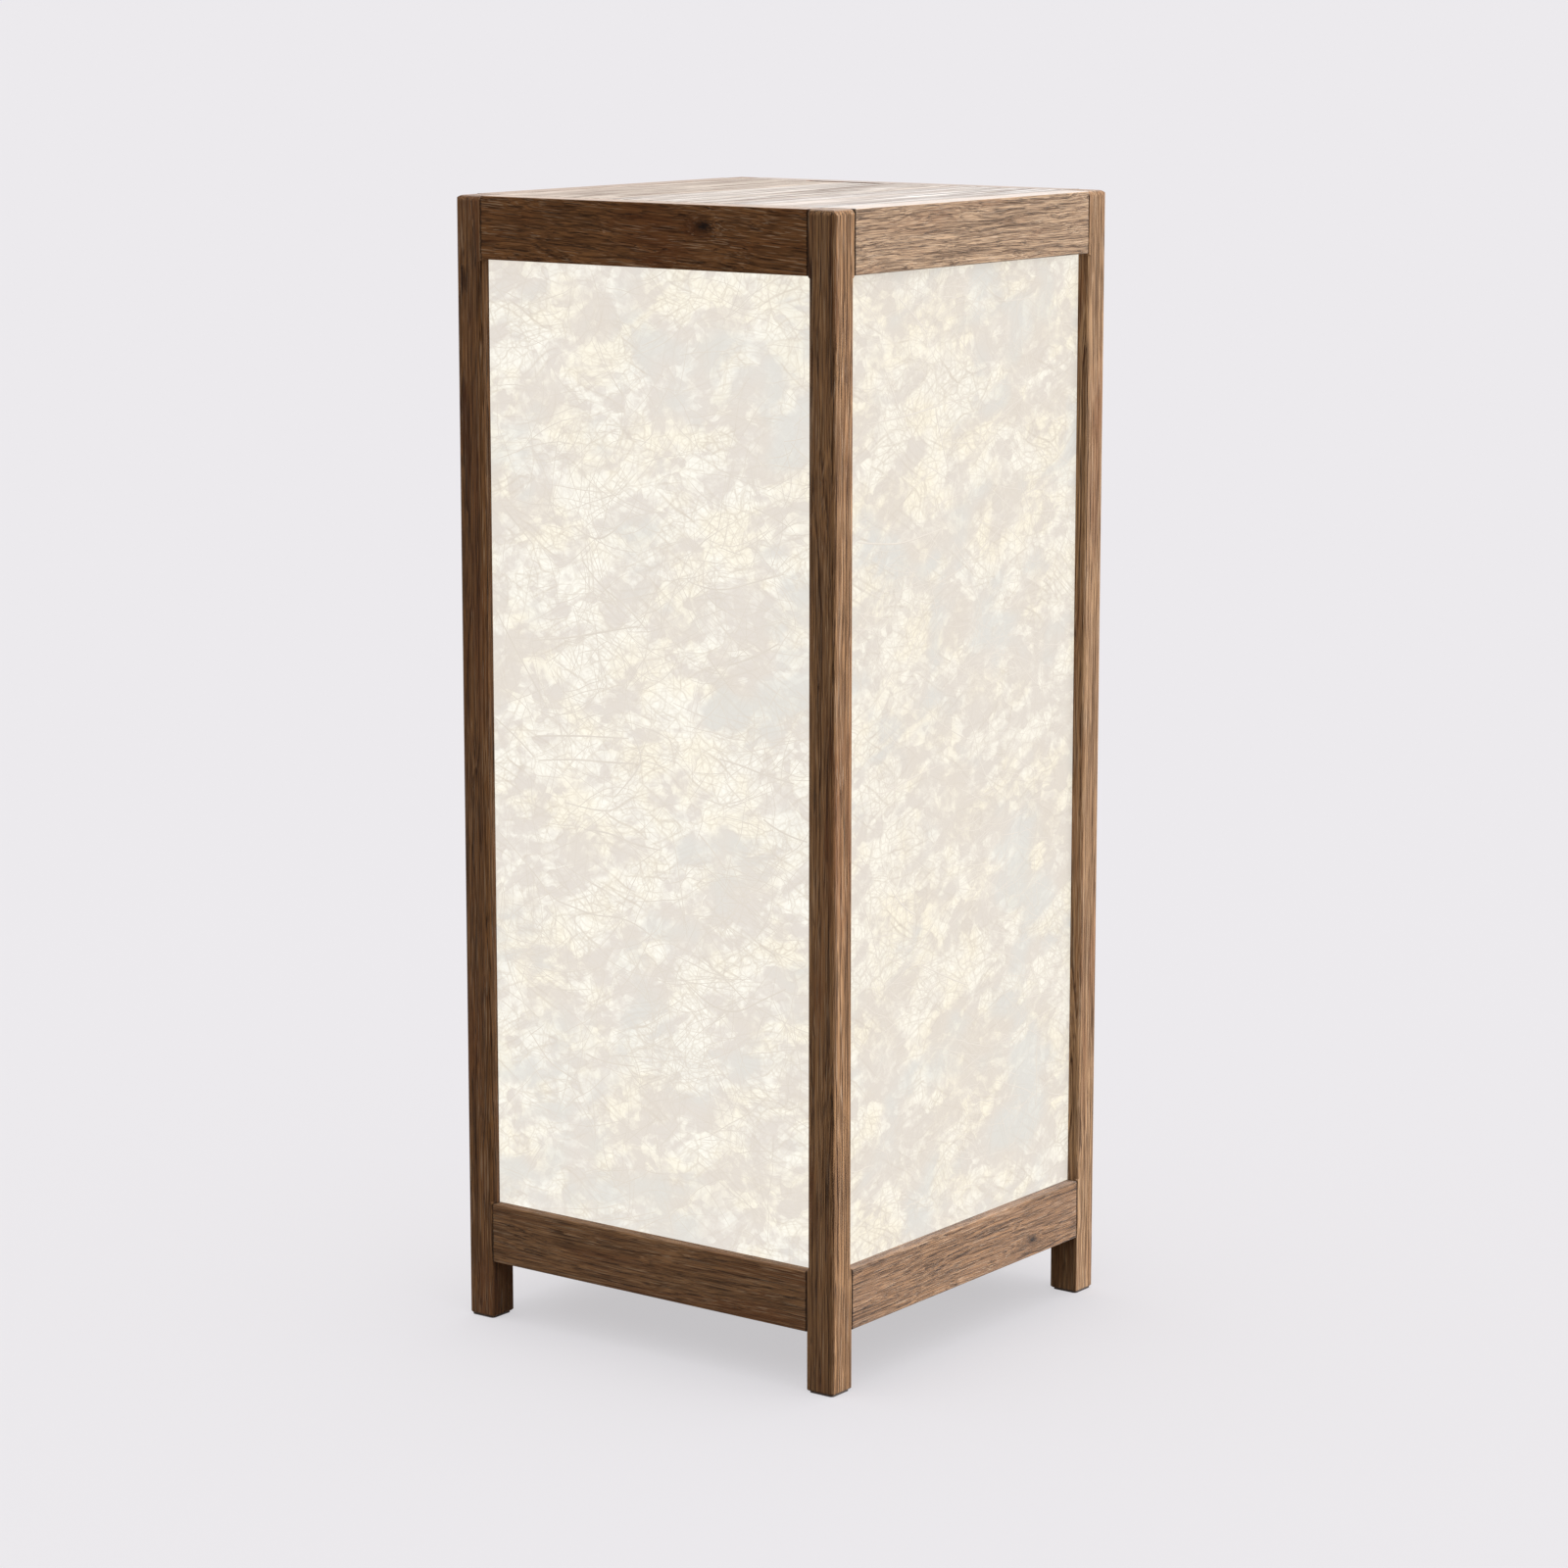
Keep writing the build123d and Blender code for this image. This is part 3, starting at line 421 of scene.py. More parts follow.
class OakFigure(Effect):
    """Oak's rings, fibres, pores, flecks and one knot, with the grain along X."""

    RING_SLOPE = 0.45
    MID_TONE = 0.55
    HEARTWOOD = tint(28, 17, 12)
    PORE_STAIN = tint(140, 124, 112)
    FLECK = tint(222, 200, 176)

    def __init__(self) -> None:
        """Builds the group, from the run of the grain up to the knot."""
        super().__init__(
            "oak_figure",
            {
                "Vector": ORIGIN,
                "Seed": 0.0,
                "Dark": tint(90, 64, 44),
                "Light": tint(160, 128, 98),
                "Blush": tint(118, 78, 52),
                "Ring": 5.0,
                "Late": 0.16,
                "Crisp": 1.0,
                "Knot": FAR_AWAY,
                "Knot Size": 4.0,
            },
            {"Color": Kind.COLOUR, "Roughness": Kind.NUMBER, "Height": Kind.NUMBER},
        )
        g, given = self.graph, self.given
        self.raw = g.millimetres(given["Vector"])
        knot = g.millimetres(given["Knot"])
        self.from_knot = g.stretched(g.vector("SUBTRACT", self.raw, knot), (0.70, 1.0, 1.0))
        self.reach = g.math("DIVIDE", g.length(self.from_knot), given["Knot Size"])
        # The grain sways, and the knot pushes it round itself.
        place = seeded(g, self.raw, given["Seed"])
        slow = g.noise(g.stretched(place, (0.0045, 0.016, 0.016)), 2.0)
        self.quick = g.noise(g.stretched(place, (0.019, 0.06, 0.06)), 2.0)
        sway = g.scaled(slow, 26.0, g.times(self.quick, 5.0))
        push = g.times(g.eased(self.reach, 4.5, 0.4), g.times(given["Knot Size"], 1.1))
        self.along, y, z = g.split(place)
        self.across = g.plus(y, g.plus(sway, push))
        self.through = g.plus(z, g.times(sway, 0.6))
        drawn = {figure: self.drawn_out(figure) for figure in Drawn}
        # Each ring ends in a sharp line of late wood.
        slope = g.scaled(self.through, self.RING_SLOPE, self.across)
        turn = g.math("FRACT", g.math("DIVIDE", slope, given["Ring"]))
        late = g.eased(turn, 0.72, 0.95)
        early = g.eased(turn, 0.42, 0.02)
        pores = g.times(g.eased(drawn[Drawn.DASH], 0.55, 0.65), g.scaled(early, 0.5, 0.5))
        deep = g.mixed(1.0, given["Dark"], self.PORE_STAIN, "MULTIPLY")
        colour = self.fibres(drawn, late)
        colour = g.mixed(g.times(pores, 0.80), colour, deep)
        streak, thread = drawn[Drawn.STREAK], drawn[Drawn.THREAD]
        height = g.scaled(streak, 0.60, g.scaled(thread, 0.34, g.times(pores, -0.55)))
        height = g.plus(height, g.times(late, 0.12))
        self.give(
            Color=self.knotted(colour, deep),
            Roughness=g.scaled(streak, 0.22, g.scaled(pores, 0.12, 0.50)),
            Height=g.plus(height, 0.3),
        )

    def drawn_out(self, figure: Drawn) -> Socket:
        """Gives one of the noises that run along the grain.

        Args:
            figure: Which one.

        Returns:
            The noise's value.
        """
        g = self.graph
        lengthwise, crosswise, detail, shift = figure.value
        place = g.joined(
            g.scaled(self.along, lengthwise, shift),
            g.scaled(self.across, crosswise, shift * 3.0),
            g.times(self.through, crosswise),
        )
        return g.noise(place, detail)

    def fibres(self, drawn: Mapping[Drawn, Socket], late: Plug) -> Socket:
        """Colours the fibres, the redder patches and the light flecks.

        Args:
            drawn: The noises that run along the grain.
            late: Mask of the late wood.

        Returns:
            The colour without pores.
        """
        g, given = self.graph, self.given
        tone = g.times(g.eased(drawn[Drawn.THREAD], 0.3, 0.7), 0.24)
        tone = g.scaled(g.eased(drawn[Drawn.MID], 0.34, 0.66), 0.26, tone)
        tone = g.scaled(g.eased(drawn[Drawn.STREAK], 0.34, 0.66), 0.46, tone)
        tone = g.scaled(g.eased(drawn[Drawn.BAND], 0.30, 0.70), 0.14, tone)
        tone = g.math("SUBTRACT", tone, g.times(late, given["Late"]))
        contrast = g.math("SUBTRACT", tone, self.MID_TONE)
        tone = g.scaled(contrast, given["Crisp"], self.MID_TONE)
        colour = g.mixed(tone, given["Dark"], given["Light"])
        patch = g.eased(drawn[Drawn.PATCH], 0.46, 0.70, 0.0, 0.50)
        colour = g.mixed(patch, colour, given["Blush"])
        flecks = g.times(
            g.eased(drawn[Drawn.GLINT], 0.56, 0.68), g.eased(drawn[Drawn.BAND], 0.36, 0.58)
        )
        lifted = g.mixed(0.55, given["Light"], self.FLECK)
        return g.mixed(g.times(flecks, 0.55), colour, lifted)

    def knotted(self, colour: Plug, deep: Plug) -> Socket:
        """Adds the knot: a soft reddish stain beside a small ragged heart.

        Args:
            colour: The wood's colour.
            deep: The colour of its pores.

        Returns:
            The colour with the knot.
        """
        g, given = self.graph, self.given
        aside = g.joined(g.times(given["Knot Size"], 1.5), 0.0, 0.0)
        beside = g.length(g.vector("ADD", self.from_knot, aside))
        stain = g.math("DIVIDE", beside, given["Knot Size"])
        stain = g.plus(stain, g.scaled(self.quick, 3.0, -1.5))
        burnt = g.mixed(0.55, given["Blush"], given["Dark"])
        colour = g.mixed(g.eased(stain, 4.0, 0.8, 0.0, 0.70), colour, burnt)
        crumb = g.noise(self.raw, 3.0, 0.6, 0.35)
        ragged = g.plus(self.reach, g.scaled(crumb, 2.4, -1.2))
        colour = g.mixed(g.eased(ragged, 2.4, 0.8, 0.0, 0.60), colour, deep)
        return g.mixed(g.eased(ragged, 1.2, 0.3, 0.0, 0.92), colour, self.HEARTWOOD)


class ArrisWear(Effect):
    """A mask that is 1 on a box's arrises, broken up, and 0 a few millimetres in."""

    def __init__(self) -> None:
        """Builds the group."""
        super().__init__(
            "arris_wear",
            {
                "Vector": ORIGIN,
                "Centre": ORIGIN,
                "Half": (1.0, 1.0, 1.0),
                "Width": 0.003,
            },
            {"Mask": Kind.NUMBER},
        )
        g, given = self.graph, self.given
        out = g.vector("ABSOLUTE", g.vector("SUBTRACT", given["Vector"], given["Centre"]))
        a, b, c = g.split(g.vector("SUBTRACT", given["Half"], out))
        # The second smallest distance to a face is the distance to an arris.
        lower = g.math("MINIMUM", a, b)
        upper = g.math("MAXIMUM", a, b)
        second = g.math("MAXIMUM", lower, g.math("MINIMUM", upper, c))
        broken = g.noise(g.stretched(given["Vector"], (90.0, 90.0, 90.0)), 4.0, 0.6)
        edge = g.times(given["Width"], g.eased(broken, 0.30, 0.75, 0.25, 1.6))
        self.give(Mask=g.eased(g.math("DIVIDE", second, edge), 1.0, 0.15))


@dataclass(frozen=True)
class Needles:
    """Slender fibres in the paper that lean the same way.

    Attributes:
        lean: Turn of the fibres in radians.
        length: Longest fibre in millimetres.
        width: Width of the strip that each lies in, in millimetres.
        kept: Share of the places that hold one.
        share: How strongly they show.
    """

    lean: float
    length: float
    width: float
    kept: float
    share: float


class WashiWeb(Effect):
    """Backlit mulberry paper: bright thin cells, crossing fibres and cloudy pulp."""

    WARM = tint(255, 252, 245)
    # Spacing in millimetres, width and strength of the fine lines round the cells.
    LINES = ((15.0, 0.085, 0.72), (7.6, 0.160, 0.52), (4.4, 0.240, 0.24))
    NEEDLES = (
        Needles(0.52, 104.0, 4.2, 0.26, 0.75),
        Needles(-0.60, 110.0, 4.6, 0.28, 0.85),
        Needles(1.30, 84.0, 3.6, 0.20, 0.60),
        Needles(-1.20, 88.0, 3.6, 0.20, 0.60),
        Needles(0.05, 92.0, 3.8, 0.24, 0.65),
        Needles(-0.28, 62.0, 2.2, 0.26, 0.60),
        Needles(0.86, 60.0, 2.2, 0.24, 0.60),
        Needles(0.28, 52.0, 1.9, 0.26, 0.50),
    )

    def __init__(self) -> None:
        """Builds the group, from the sheet's sway up to its colours."""
        super().__init__(
            "washi_web",
            {
                "Vector": ORIGIN,
                "Seed": 0.0,
                "Lift": 0.0,
                "Cell": tint(255, 251, 236),
                "Pulp": tint(242, 236, 226),
                "Fibre": tint(225, 216, 203),
                "Cool": tint(226, 226, 222),
            },
            {"Color": Kind.COLOUR, "Height": Kind.NUMBER},
        )
        g, given = self.graph, self.given
        self.place = seeded(g, g.millimetres(given["Vector"]), given["Seed"])
        self.bent = g.vector("ADD", self.place, self.wobble(56, 1.0, 24.0))
        self.crumpled = g.vector("ADD", self.bent, self.wobble(7, 2.0, 6.0))
        # Thin places between the fibres, gathered in drifts.
        leaning = g.turned(self.bent, (0.0, 0.0, 0.50))
        drifts = g.noise(g.stretched(leaning, (1 / 52, 1 / 27, 1 / 30)), 2.5, 0.6)
        drifts = g.scaled(given["Lift"], 0.095, drifts)
        cloud = g.noise(self.place, 3.0, 0.55, 1 / 90)
        thin = g.times(g.eased(drifts, 0.41, 0.60), g.eased(cloud, 0.66, 0.44, 0.50, 1.0))
        chance, second, _ = g.split(g.cells(self.crumpled, "F1", 1 / 15.0).outputs["Color"])
        small, _, _ = g.split(g.cells(self.crumpled, "F1", 1 / 7.6).outputs["Color"])
        lit = g.scaled(chance, 0.5, g.times(small, 0.5))
        grit = g.noise(self.crumpled, 4.0, 0.66, 1 / 9)
        speckle = g.scaled(grit, 0.9, g.times(lit, 0.55))
        bright = g.eased(g.scaled(thin, 0.46, speckle), 0.66, 1.20)
        web, strands = self.web(), self.strands()
        colour = self.pulp(bright, drifts)
        lines = g.times(web, g.scaled(thin, 0.60, 0.08))
        colour = g.mixed(lines, colour, given["Fibre"])
        drawn = g.times(strands, g.scaled(thin, 0.45, 0.30))
        colour = g.mixed(drawn, colour, given["Fibre"])
        height = g.scaled(web, 0.3, g.scaled(strands, 0.6, g.times(second, 0.1)))
        self.give(Color=colour, Height=height)

    def wobble(self, span: float, detail: float, reach: float) -> Socket:
        """Gives a shift that changes over the sheet.

        Args:
            span: Millimetres to a wave.
            detail: Octaves added.
            reach: Farthest shift in millimetres, both ways together.

        Returns:
            The shift.
        """
        g = self.graph
        plugs = {"Vector": self.place, "Scale": 1 / span, "Detail": detail}
        cloud = g.add("ShaderNodeTexNoise", plugs).outputs[1]
        level = g.vector("SUBTRACT", cloud, (0.5, 0.5, 0.5))
        return g.stretched(level, (reach, reach, reach))

    def web(self) -> Plug:
        """Draws the fine lines that part the cells.

        Returns:
            How strong the lines are.
        """
        g = self.graph
        web: Plug = 0.0
        for spacing, width, share in self.LINES:
            rim = g.cells(self.crumpled, "DISTANCE_TO_EDGE", 1 / spacing).outputs["Distance"]
            web = g.math("MAXIMUM", web, g.eased(rim, width, width * 0.2, 0.0, share))
        return web

    def strands(self) -> Plug:
        """Draws the fibres in the pulp, in many directions and with places left empty.

        Returns:
            How strong the fibres are.
        """
        g = self.graph
        strands: Plug = 0.0
        for needles in self.NEEDLES:
            shift = (needles.kept * 7000.0, needles.lean * 900.0, 0.0)
            spun = g.turned(self.bent, (0.0, 0.0, needles.lean), shift)
            shares = (1 / needles.length, 1 / needles.width, 0.0)
            needle = g.cells(g.stretched(spun, shares), "F1", 1.0).outputs
            pick, depth, _ = g.split(needle["Color"])
            kept = g.math("LESS_THAN", pick, needles.kept * 1.35)
            line = g.times(g.eased(needle["Distance"], 0.33, 0.07), kept)
            line = g.times(line, g.scaled(depth, needles.share * 0.6, needles.share * 0.4))
            strands = g.math("MAXIMUM", strands, line)
        return strands

    def pulp(self, bright: Plug, drifts: Plug) -> Socket:
        """Colours the sheet without its fibres.

        Args:
            bright: How thin the pulp is.
            drifts: How thin its surroundings are.

        Returns:
            The colour.
        """
        g, given = self.graph, self.given
        warmed = g.noise(g.vector("ADD", self.place, (120.0, 40.0, 77.0)), 3.0, 0.55, 1 / 44)
        warm = g.times(g.eased(warmed, 0.40, 0.62), g.scaled(bright, 0.7, 0.3))
        haze = g.noise(g.vector("ADD", self.place, (310.0, 90.0, 40.0)), 2.0, 0.5, 1 / 64)
        calm = g.scaled(given["Lift"], -0.07, haze)
        cool = g.times(g.eased(calm, 0.50, 0.68), g.eased(drifts, 0.60, 0.42, 0.3, 1.0))
        colour = g.mixed(bright, given["Pulp"], given["Cell"])
        colour = g.mixed(warm, colour, self.WARM, "MULTIPLY")
        return g.mixed(g.times(cool, 0.62), colour, given["Cool"])


class Mottle(Effect):
    """Slow and fine unevenness, as on moulded, painted or plated surfaces."""

    def __init__(self) -> None:
        """Builds the group."""
        super().__init__(
            "mottle",
            {"Vector": ORIGIN, "Coarse": 12.0, "Fine": 0.6},
            {"Slow": Kind.NUMBER, "Quick": Kind.NUMBER, "Specks": Kind.NUMBER},
        )
        g, given = self.graph, self.given
        raw = g.millimetres(given["Vector"])
        coarse, fine = (
            g.vector("DIVIDE", raw, g.joined(given[size], given[size], given[size]))
            for size in ("Coarse", "Fine")
        )
        specks = g.noise(g.vector("ADD", fine, (41.0, 7.0, 3.0)), 1.0)
        self.give(
            Slow=g.eased(g.noise(coarse, 4.0, 0.6), 0.25, 0.75),
            Quick=g.noise(fine, 2.0, 0.5),
            Specks=g.eased(specks, 0.66, 0.76),
        )


class LatheLines(Effect):
    """Fine rings about the lamp's upright axis, as turning and rolling leave."""

    def __init__(self) -> None:
        """Builds the group."""
        super().__init__(
            "lathe_lines",
            {"Vector": ORIGIN, "Pitch": 0.25},
            {"Line": Kind.NUMBER, "Wear": Kind.NUMBER},
        )
        g, given = self.graph, self.given
        raw = g.millimetres(given["Vector"])
        x, y, z = g.split(raw)
        radius = g.length(g.joined(x, y, 0.0))
        turns, rise = (g.math("DIVIDE", way, given["Pitch"]) for way in (radius, z))
        self.give(
            Line=g.noise(g.joined(turns, rise, 0.0), 2.0),
            Wear=g.eased(g.noise(raw, 4.0, 0.6, 1 / 9), 0.35, 0.7),
        )


@cache
def shared(kind: type[Effect]) -> Effect:
    """Gives an effect's one node group, built when a finish first asks for it."""
    return kind()


# ---- Finishes


@dataclass(frozen=True)
class Board:
    """One piece of wood, as its finish has to know it.

    Attributes:
        node: The piece's node.
        grain: Axis of its grain.
        seed: Number that makes its figure its own.
        knot: Place of a knot in metres, if it has one.
        knot_size: The knot's radius in millimetres.
        ends: Whether the arrises of its ends are worn too.
        seam: Distance from the middle to its joints, where shade is painted into the joint.
    """

    node: str
    grain: Grain
    seed: float
    knot: Optional[Point] = None
    knot_size: float = 4.0
    ends: bool = False
    seam: float = 0.0


@dataclass(frozen=True)
class OakFinish:
    """Weathered oak with a matt oil, its grain along one axis.

    Attributes:
        dark: Colour of the dark fibres.
        light: Colour of the light fibres.
        blush: Colour of the redder patches.
        worn: Colour that the arrises fade to.
        ring: Width of a year's growth in millimetres, before coarseness.
        late: How dark the late wood is.
        coarse: How much broader than usual the figure is.
        draw_out: How much longer than usual its streaks are.
        crisp: How strongly the light and dark fibres stand apart.
        lean: Turn of the grain out of the piece's axis.
        relief: Depth of the open grain in metres.
        specular: Strength of the gloss.
        sheen: Weight of the dusty sheen.
        wear_share: How far the arrises fade.
        wear_width: How far in they fade, in metres.
        bleach_and_glare: How far the upward faces of the top are painted paler, partly as bleached
            wood and partly as painted glare of the light from above.
        bleach_and_glare_from: How far a face must look up to start paling.
        faded: Colour that the upward faces pale to: bleached wood with painted glare.
        stain: Colour that darkens the faces not looking up, if given, so that the painted glare
            and bleaching in the colours stay on the top.
    """

    dark: Colour
    light: Colour
    blush: Colour
    worn: Colour
    ring: float = 5.0
    late: float = 0.24
    coarse: float = 1.0
    draw_out: float = 1.0
    crisp: float = 1.0
    lean: float = 0.0
    relief: float = 0.0007
    specular: float = 0.05
    sheen: float = 0.0
    wear_share: float = 0.16
    wear_width: float = 0.0020
    bleach_and_glare: float = 0.0
    bleach_and_glare_from: float = 0.72
    faded: Colour = tint(228, 216, 204)
    stain: Optional[Colour] = None

    def material(self, name: str, board: Board) -> bpy.types.Material:
        """Builds the finish for one piece.

        Args:
            name: The material's name.
            board: The piece.

        Returns:
            The material.
        """
        g = Surface(name)
        figure = self.figure(g, board)
        colour = self.worn_down(g, board, figure["Color"])
        # The faces that don't look up are darkened, so that the painted glare and bleaching in the
        # colours stay on the top.
        if self.stain:
            colour = g.mixed(g.eased(g.upward(), 0.95, 0.60), colour, self.stain, "MULTIPLY")
        # The upward faces of the top are painted paler, partly as bleached wood and partly as
        # painted glare of the light from above; the coat on them is a real gloss.
        if self.bleach_and_glare:
            skyward = self.skyward(g)
            faded = g.mixed(0.62, colour, self.faded)
            colour = g.mixed(g.times(skyward, self.bleach_and_glare), colour, faded)
            g.plug(g.shader.inputs["Coat Weight"], g.times(skyward, 0.4))
        # Painted shade in the joints where rails and posts meet.
        if board.seam:
            colour = g.mixed(self.joint(g, board), colour, JOINT_SHADE)
        return g.finished({
            "Base Color": colour,
            "Roughness": figure["Roughness"],
            "Normal": g.bump(figure["Height"], self.relief),
            "Specular IOR Level": self.specular,
            "Coat Roughness": 0.42,
            "Sheen Weight": self.sheen,
            "Sheen Roughness": 0.5,
        })

    def figure(self, g: Surface, board: Board) -> bpy.types.NodeOutputs:
        """Lays oak's figure along the piece.

        Args:
            g: The material's graph.
            board: The piece.

        Returns:
            The figure's outputs.
        """
        turn = board.grain.leaning(self.lean)
        shares = (2 / (1 + self.coarse) / self.draw_out, 1 / self.coarse, 1 / self.coarse)
        spot = Euler(turn).to_matrix() @ Vector(board.knot) if board.knot else FAR_AWAY
        return shared(OakFigure).placed(
            g,
            Vector=g.stretched(g.turned(g.place, turn), shares),
            Seed=board.seed,
            Dark=self.dark,
            Light=self.light,
            Blush=self.blush,
            Ring=self.ring,
            Late=self.late,
            Crisp=self.crisp,
            Knot=tuple(reach * share for reach, share in zip(spot, shares)),
            Knot_Size=board.knot_size / self.coarse,
        )

    def worn_down(self, g: Surface, board: Board, colour: Plug) -> Socket:
        """Fades the piece's arrises.

        Args:
            g: The material's graph.
            board: The piece.
            colour: The wood's colour.

        Returns:
            The colour with the wear.
        """
        low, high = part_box(board.node)
        half = (high - low) / 2
        if not board.ends:
            half[max(range(3), key=lambda axis: half[axis])] += 1.0
        centre = tuple((low + high) / 2)
        worn = shared(ArrisWear).placed(g, Centre=centre, Half=tuple(half), Width=self.wear_width)
        return g.mixed(g.times(worn["Mask"], self.wear_share), colour, self.worn)

    def skyward(self, g: Surface) -> Socket:
        """Gives 1 on the faces of the top that look up."""
        high = g.eased(g.split(g.place)[2], *BLEACH_AND_GLARE_LEVELS)
        return g.times(g.eased(g.upward(), self.bleach_and_glare_from, 0.97), high)

    def joint(self, g: Surface, board: Board) -> Socket:
        """Gives the shade painted into the joint: a dark, ragged line where a rail and a post
        meet.

        Args:
            g: The material's graph.
            board: The piece.

        Returns:
            How dark the line is, from 0 to 1.
        """
        crumbs = g.noise(g.place, 2.0, 0.6, 420.0)
        jag = g.scaled(crumbs, 0.0024, -0.0012)
        x, y, z = g.split(g.place)
        seam = board.seam
        if board.grain is not Grain.ALONG_Z:
            reach = g.math("ABSOLUTE", x if board.grain is Grain.ALONG_X else y)
            return g.eased(g.plus(reach, jag), seam - 0.0018, seam - 0.0005, 0.0, 0.85)
        nearest = g.math("MINIMUM", g.math("ABSOLUTE", x), g.math("ABSOLUTE", y))
        line = g.eased(g.plus(nearest, jag), seam + 0.0009, seam + 0.0001, 0.0, 0.65)
        bottom_rail = g.times(
            g.math("GREATER_THAN", z, RAILS_LOW), g.math("LESS_THAN", z, PAPER_LOW)
        )
        top_rail = g.math("GREATER_THAN", z, PAPER_HIGH)
        return g.times(line, g.math("MAXIMUM", top_rail, bottom_rail))


@dataclass(frozen=True)
class PlyFinish:
    """Sanded birch plywood: pale veneer on its faces and plies on its edges."""

    face: Colour = tint(206, 178, 138)
    streak: Colour = tint(178, 146, 106)
    glue: Colour = tint(112, 82, 54)
    ply: float = 1.5

    def material(self, name: str) -> bpy.types.Material:
        """Builds the finish.

        Args:
            name: The material's name.

        Returns:
            The material.
        """
        g = Surface(name)
        raw = g.millimetres(g.place)
        veneer = g.noise(g.stretched(raw, (0.012, 0.55, 0.2)), 5.0, 0.6)
        colour = g.mixed(g.eased(veneer, 0.32, 0.72), self.face, self.streak)
        layer = g.math("FRACT", g.math("DIVIDE", g.split(raw)[2], self.ply))
        line = g.eased(g.math("ABSOLUTE", g.math("SUBTRACT", layer, 0.5)), 0.36, 0.5)
        edge = g.eased(g.math("ABSOLUTE", g.upward()), 0.6, 0.2)
        return g.finished({
            "Base Color": g.mixed(g.times(line, edge), colour, self.glue),
            "Roughness": g.scaled(veneer, 0.2, 0.55),
            "Normal": g.bump(veneer, 0.0002),
        })


@dataclass(frozen=True)
class WashiFinish:
    """Handmade mulberry paper, its light from the lamp behind painted as a glow.

    Attributes:
        glow: Strength of the painted glow that stands for the light through it.
        cell: Colour of its thin places.
        pulp: Colour of its thicker pulp.
        fibre: Colour of the fibres and lines in it.
        cool: Colour of its greyer clouds.
        share: How much of its colour the room's light meets.
        draw_out: How much narrower than usual its pattern lies.
    """

    glow: float = 0.98
    cell: Colour = tint(255, 252, 242)
    pulp: Colour = tint(229, 222, 214)
    fibre: Colour = tint(212, 201, 187)
    cool: Colour = tint(226, 226, 221)
    share: float = 0.10
    draw_out: float = 0.85

    def material(
        self, name: str, turn: Point, seed: float, patches: Sequence[Patch]
    ) -> bpy.types.Material:
        """Builds the finish for one sheet.

        Args:
            name: The material's name.
            turn: Turn that lays the sheet in the pattern's X-Y plane.
            seed: Number that makes this sheet's pattern its own.
            patches: The sheet's thin and thick places, in the pattern's plane.

        Returns:
            The material.
        """
        g = Surface(name)
        flat = g.turned(g.place, turn)
        web = shared(WashiWeb).placed(
            g,
            Vector=g.stretched(flat, (self.draw_out, 1.0, 1.0)),
            Seed=seed,
            Cell=self.cell,
            Pulp=self.pulp,
            Fibre=self.fibre,
            Cool=self.cool,
            Lift=self.lift(g, flat, patches),
        )
        normal = g.bump(web["Height"], 0.0002)
        plugs = {"Emission Strength": self.glow, "Roughness": 0.9, "Normal": normal}
        return g.backlit(web["Color"], self.share, plugs)

    def lift(self, g: Surface, flat: Plug, patches: Sequence[Patch]) -> Plug:
        """Adds up the sheet's thin and thick places.

        Args:
            g: The material's graph.
            flat: The place in the pattern's X-Y plane, in metres.
            patches: The thin and thick places, in the pattern's plane.

        Returns:
            The lift, above 0 where the sheet is thin and below where it is thick.
        """
        u, v, _ = g.split(flat)
        level = g.joined(u, v, 0.0)
        total: Plug = 0.0
        for across, up, radius, weight in patches:
            reach = g.length(g.vector("SUBTRACT", level, (across * MM, up * MM, 0.0)))
            total = g.scaled(g.eased(reach, radius * 2.1 * MM, 0.0), weight, total)
        return total


@dataclass(frozen=True)
class StrandFinish:
    """Long fibres pressed into the paper, dark or silky against the light, with the paper's
    painted glow.
    """

    colour: Colour
    other: Colour
    glow: float = 0.93
    share: float = 0.12

    def material(self, name: str) -> bpy.types.Material:
        """Builds the finish.

        Args:
            name: The material's name.

        Returns:
            The material.
        """
        g = Surface(name)
        marks = shared(Mottle).placed(g, Coarse=26.0, Fine=2.0)
        colour = g.mixed(marks["Slow"], self.colour, self.other)
        plugs = {"Emission Strength": self.glow, "Roughness": 0.85}
        return g.backlit(colour, self.share, plugs)


@dataclass(frozen=True)
class MouldedFinish:
    """Plastic, phenolic, porcelain or enamel, with faint unevenness and specks."""

    colour: Colour
    shade: Colour
    roughness: float = 0.4
    swing: float = 0.12
    coarse: float = 9.0
    fine: float = 0.5
    relief: float = 0.00003
    coat: float = 0.0
    glow: float = 0.0

    def material(self, name: str) -> bpy.types.Material:
        """Builds the finish.

        Args:
            name: The material's name.

        Returns:
            The material.
        """
        g = Surface(name)
        marks = shared(Mottle).placed(g, Coarse=self.coarse, Fine=self.fine)
        colour = g.mixed(g.times(marks["Slow"], 0.7), self.colour, self.shade)
        colour = g.mixed(g.times(marks["Specks"], 0.35), colour, self.shade)
        if self.glow:
            g.fill(g.shader, {"Emission Color": colour, "Emission Strength": self.glow})
        return g.finished({
            "Base Color": colour,
            "Roughness": g.scaled(marks["Slow"], self.swing, self.roughness),
            "Normal": g.bump(marks["Quick"], self.relief),
            "Coat Weight": self.coat,
            "Coat Roughness": 0.06,
        })


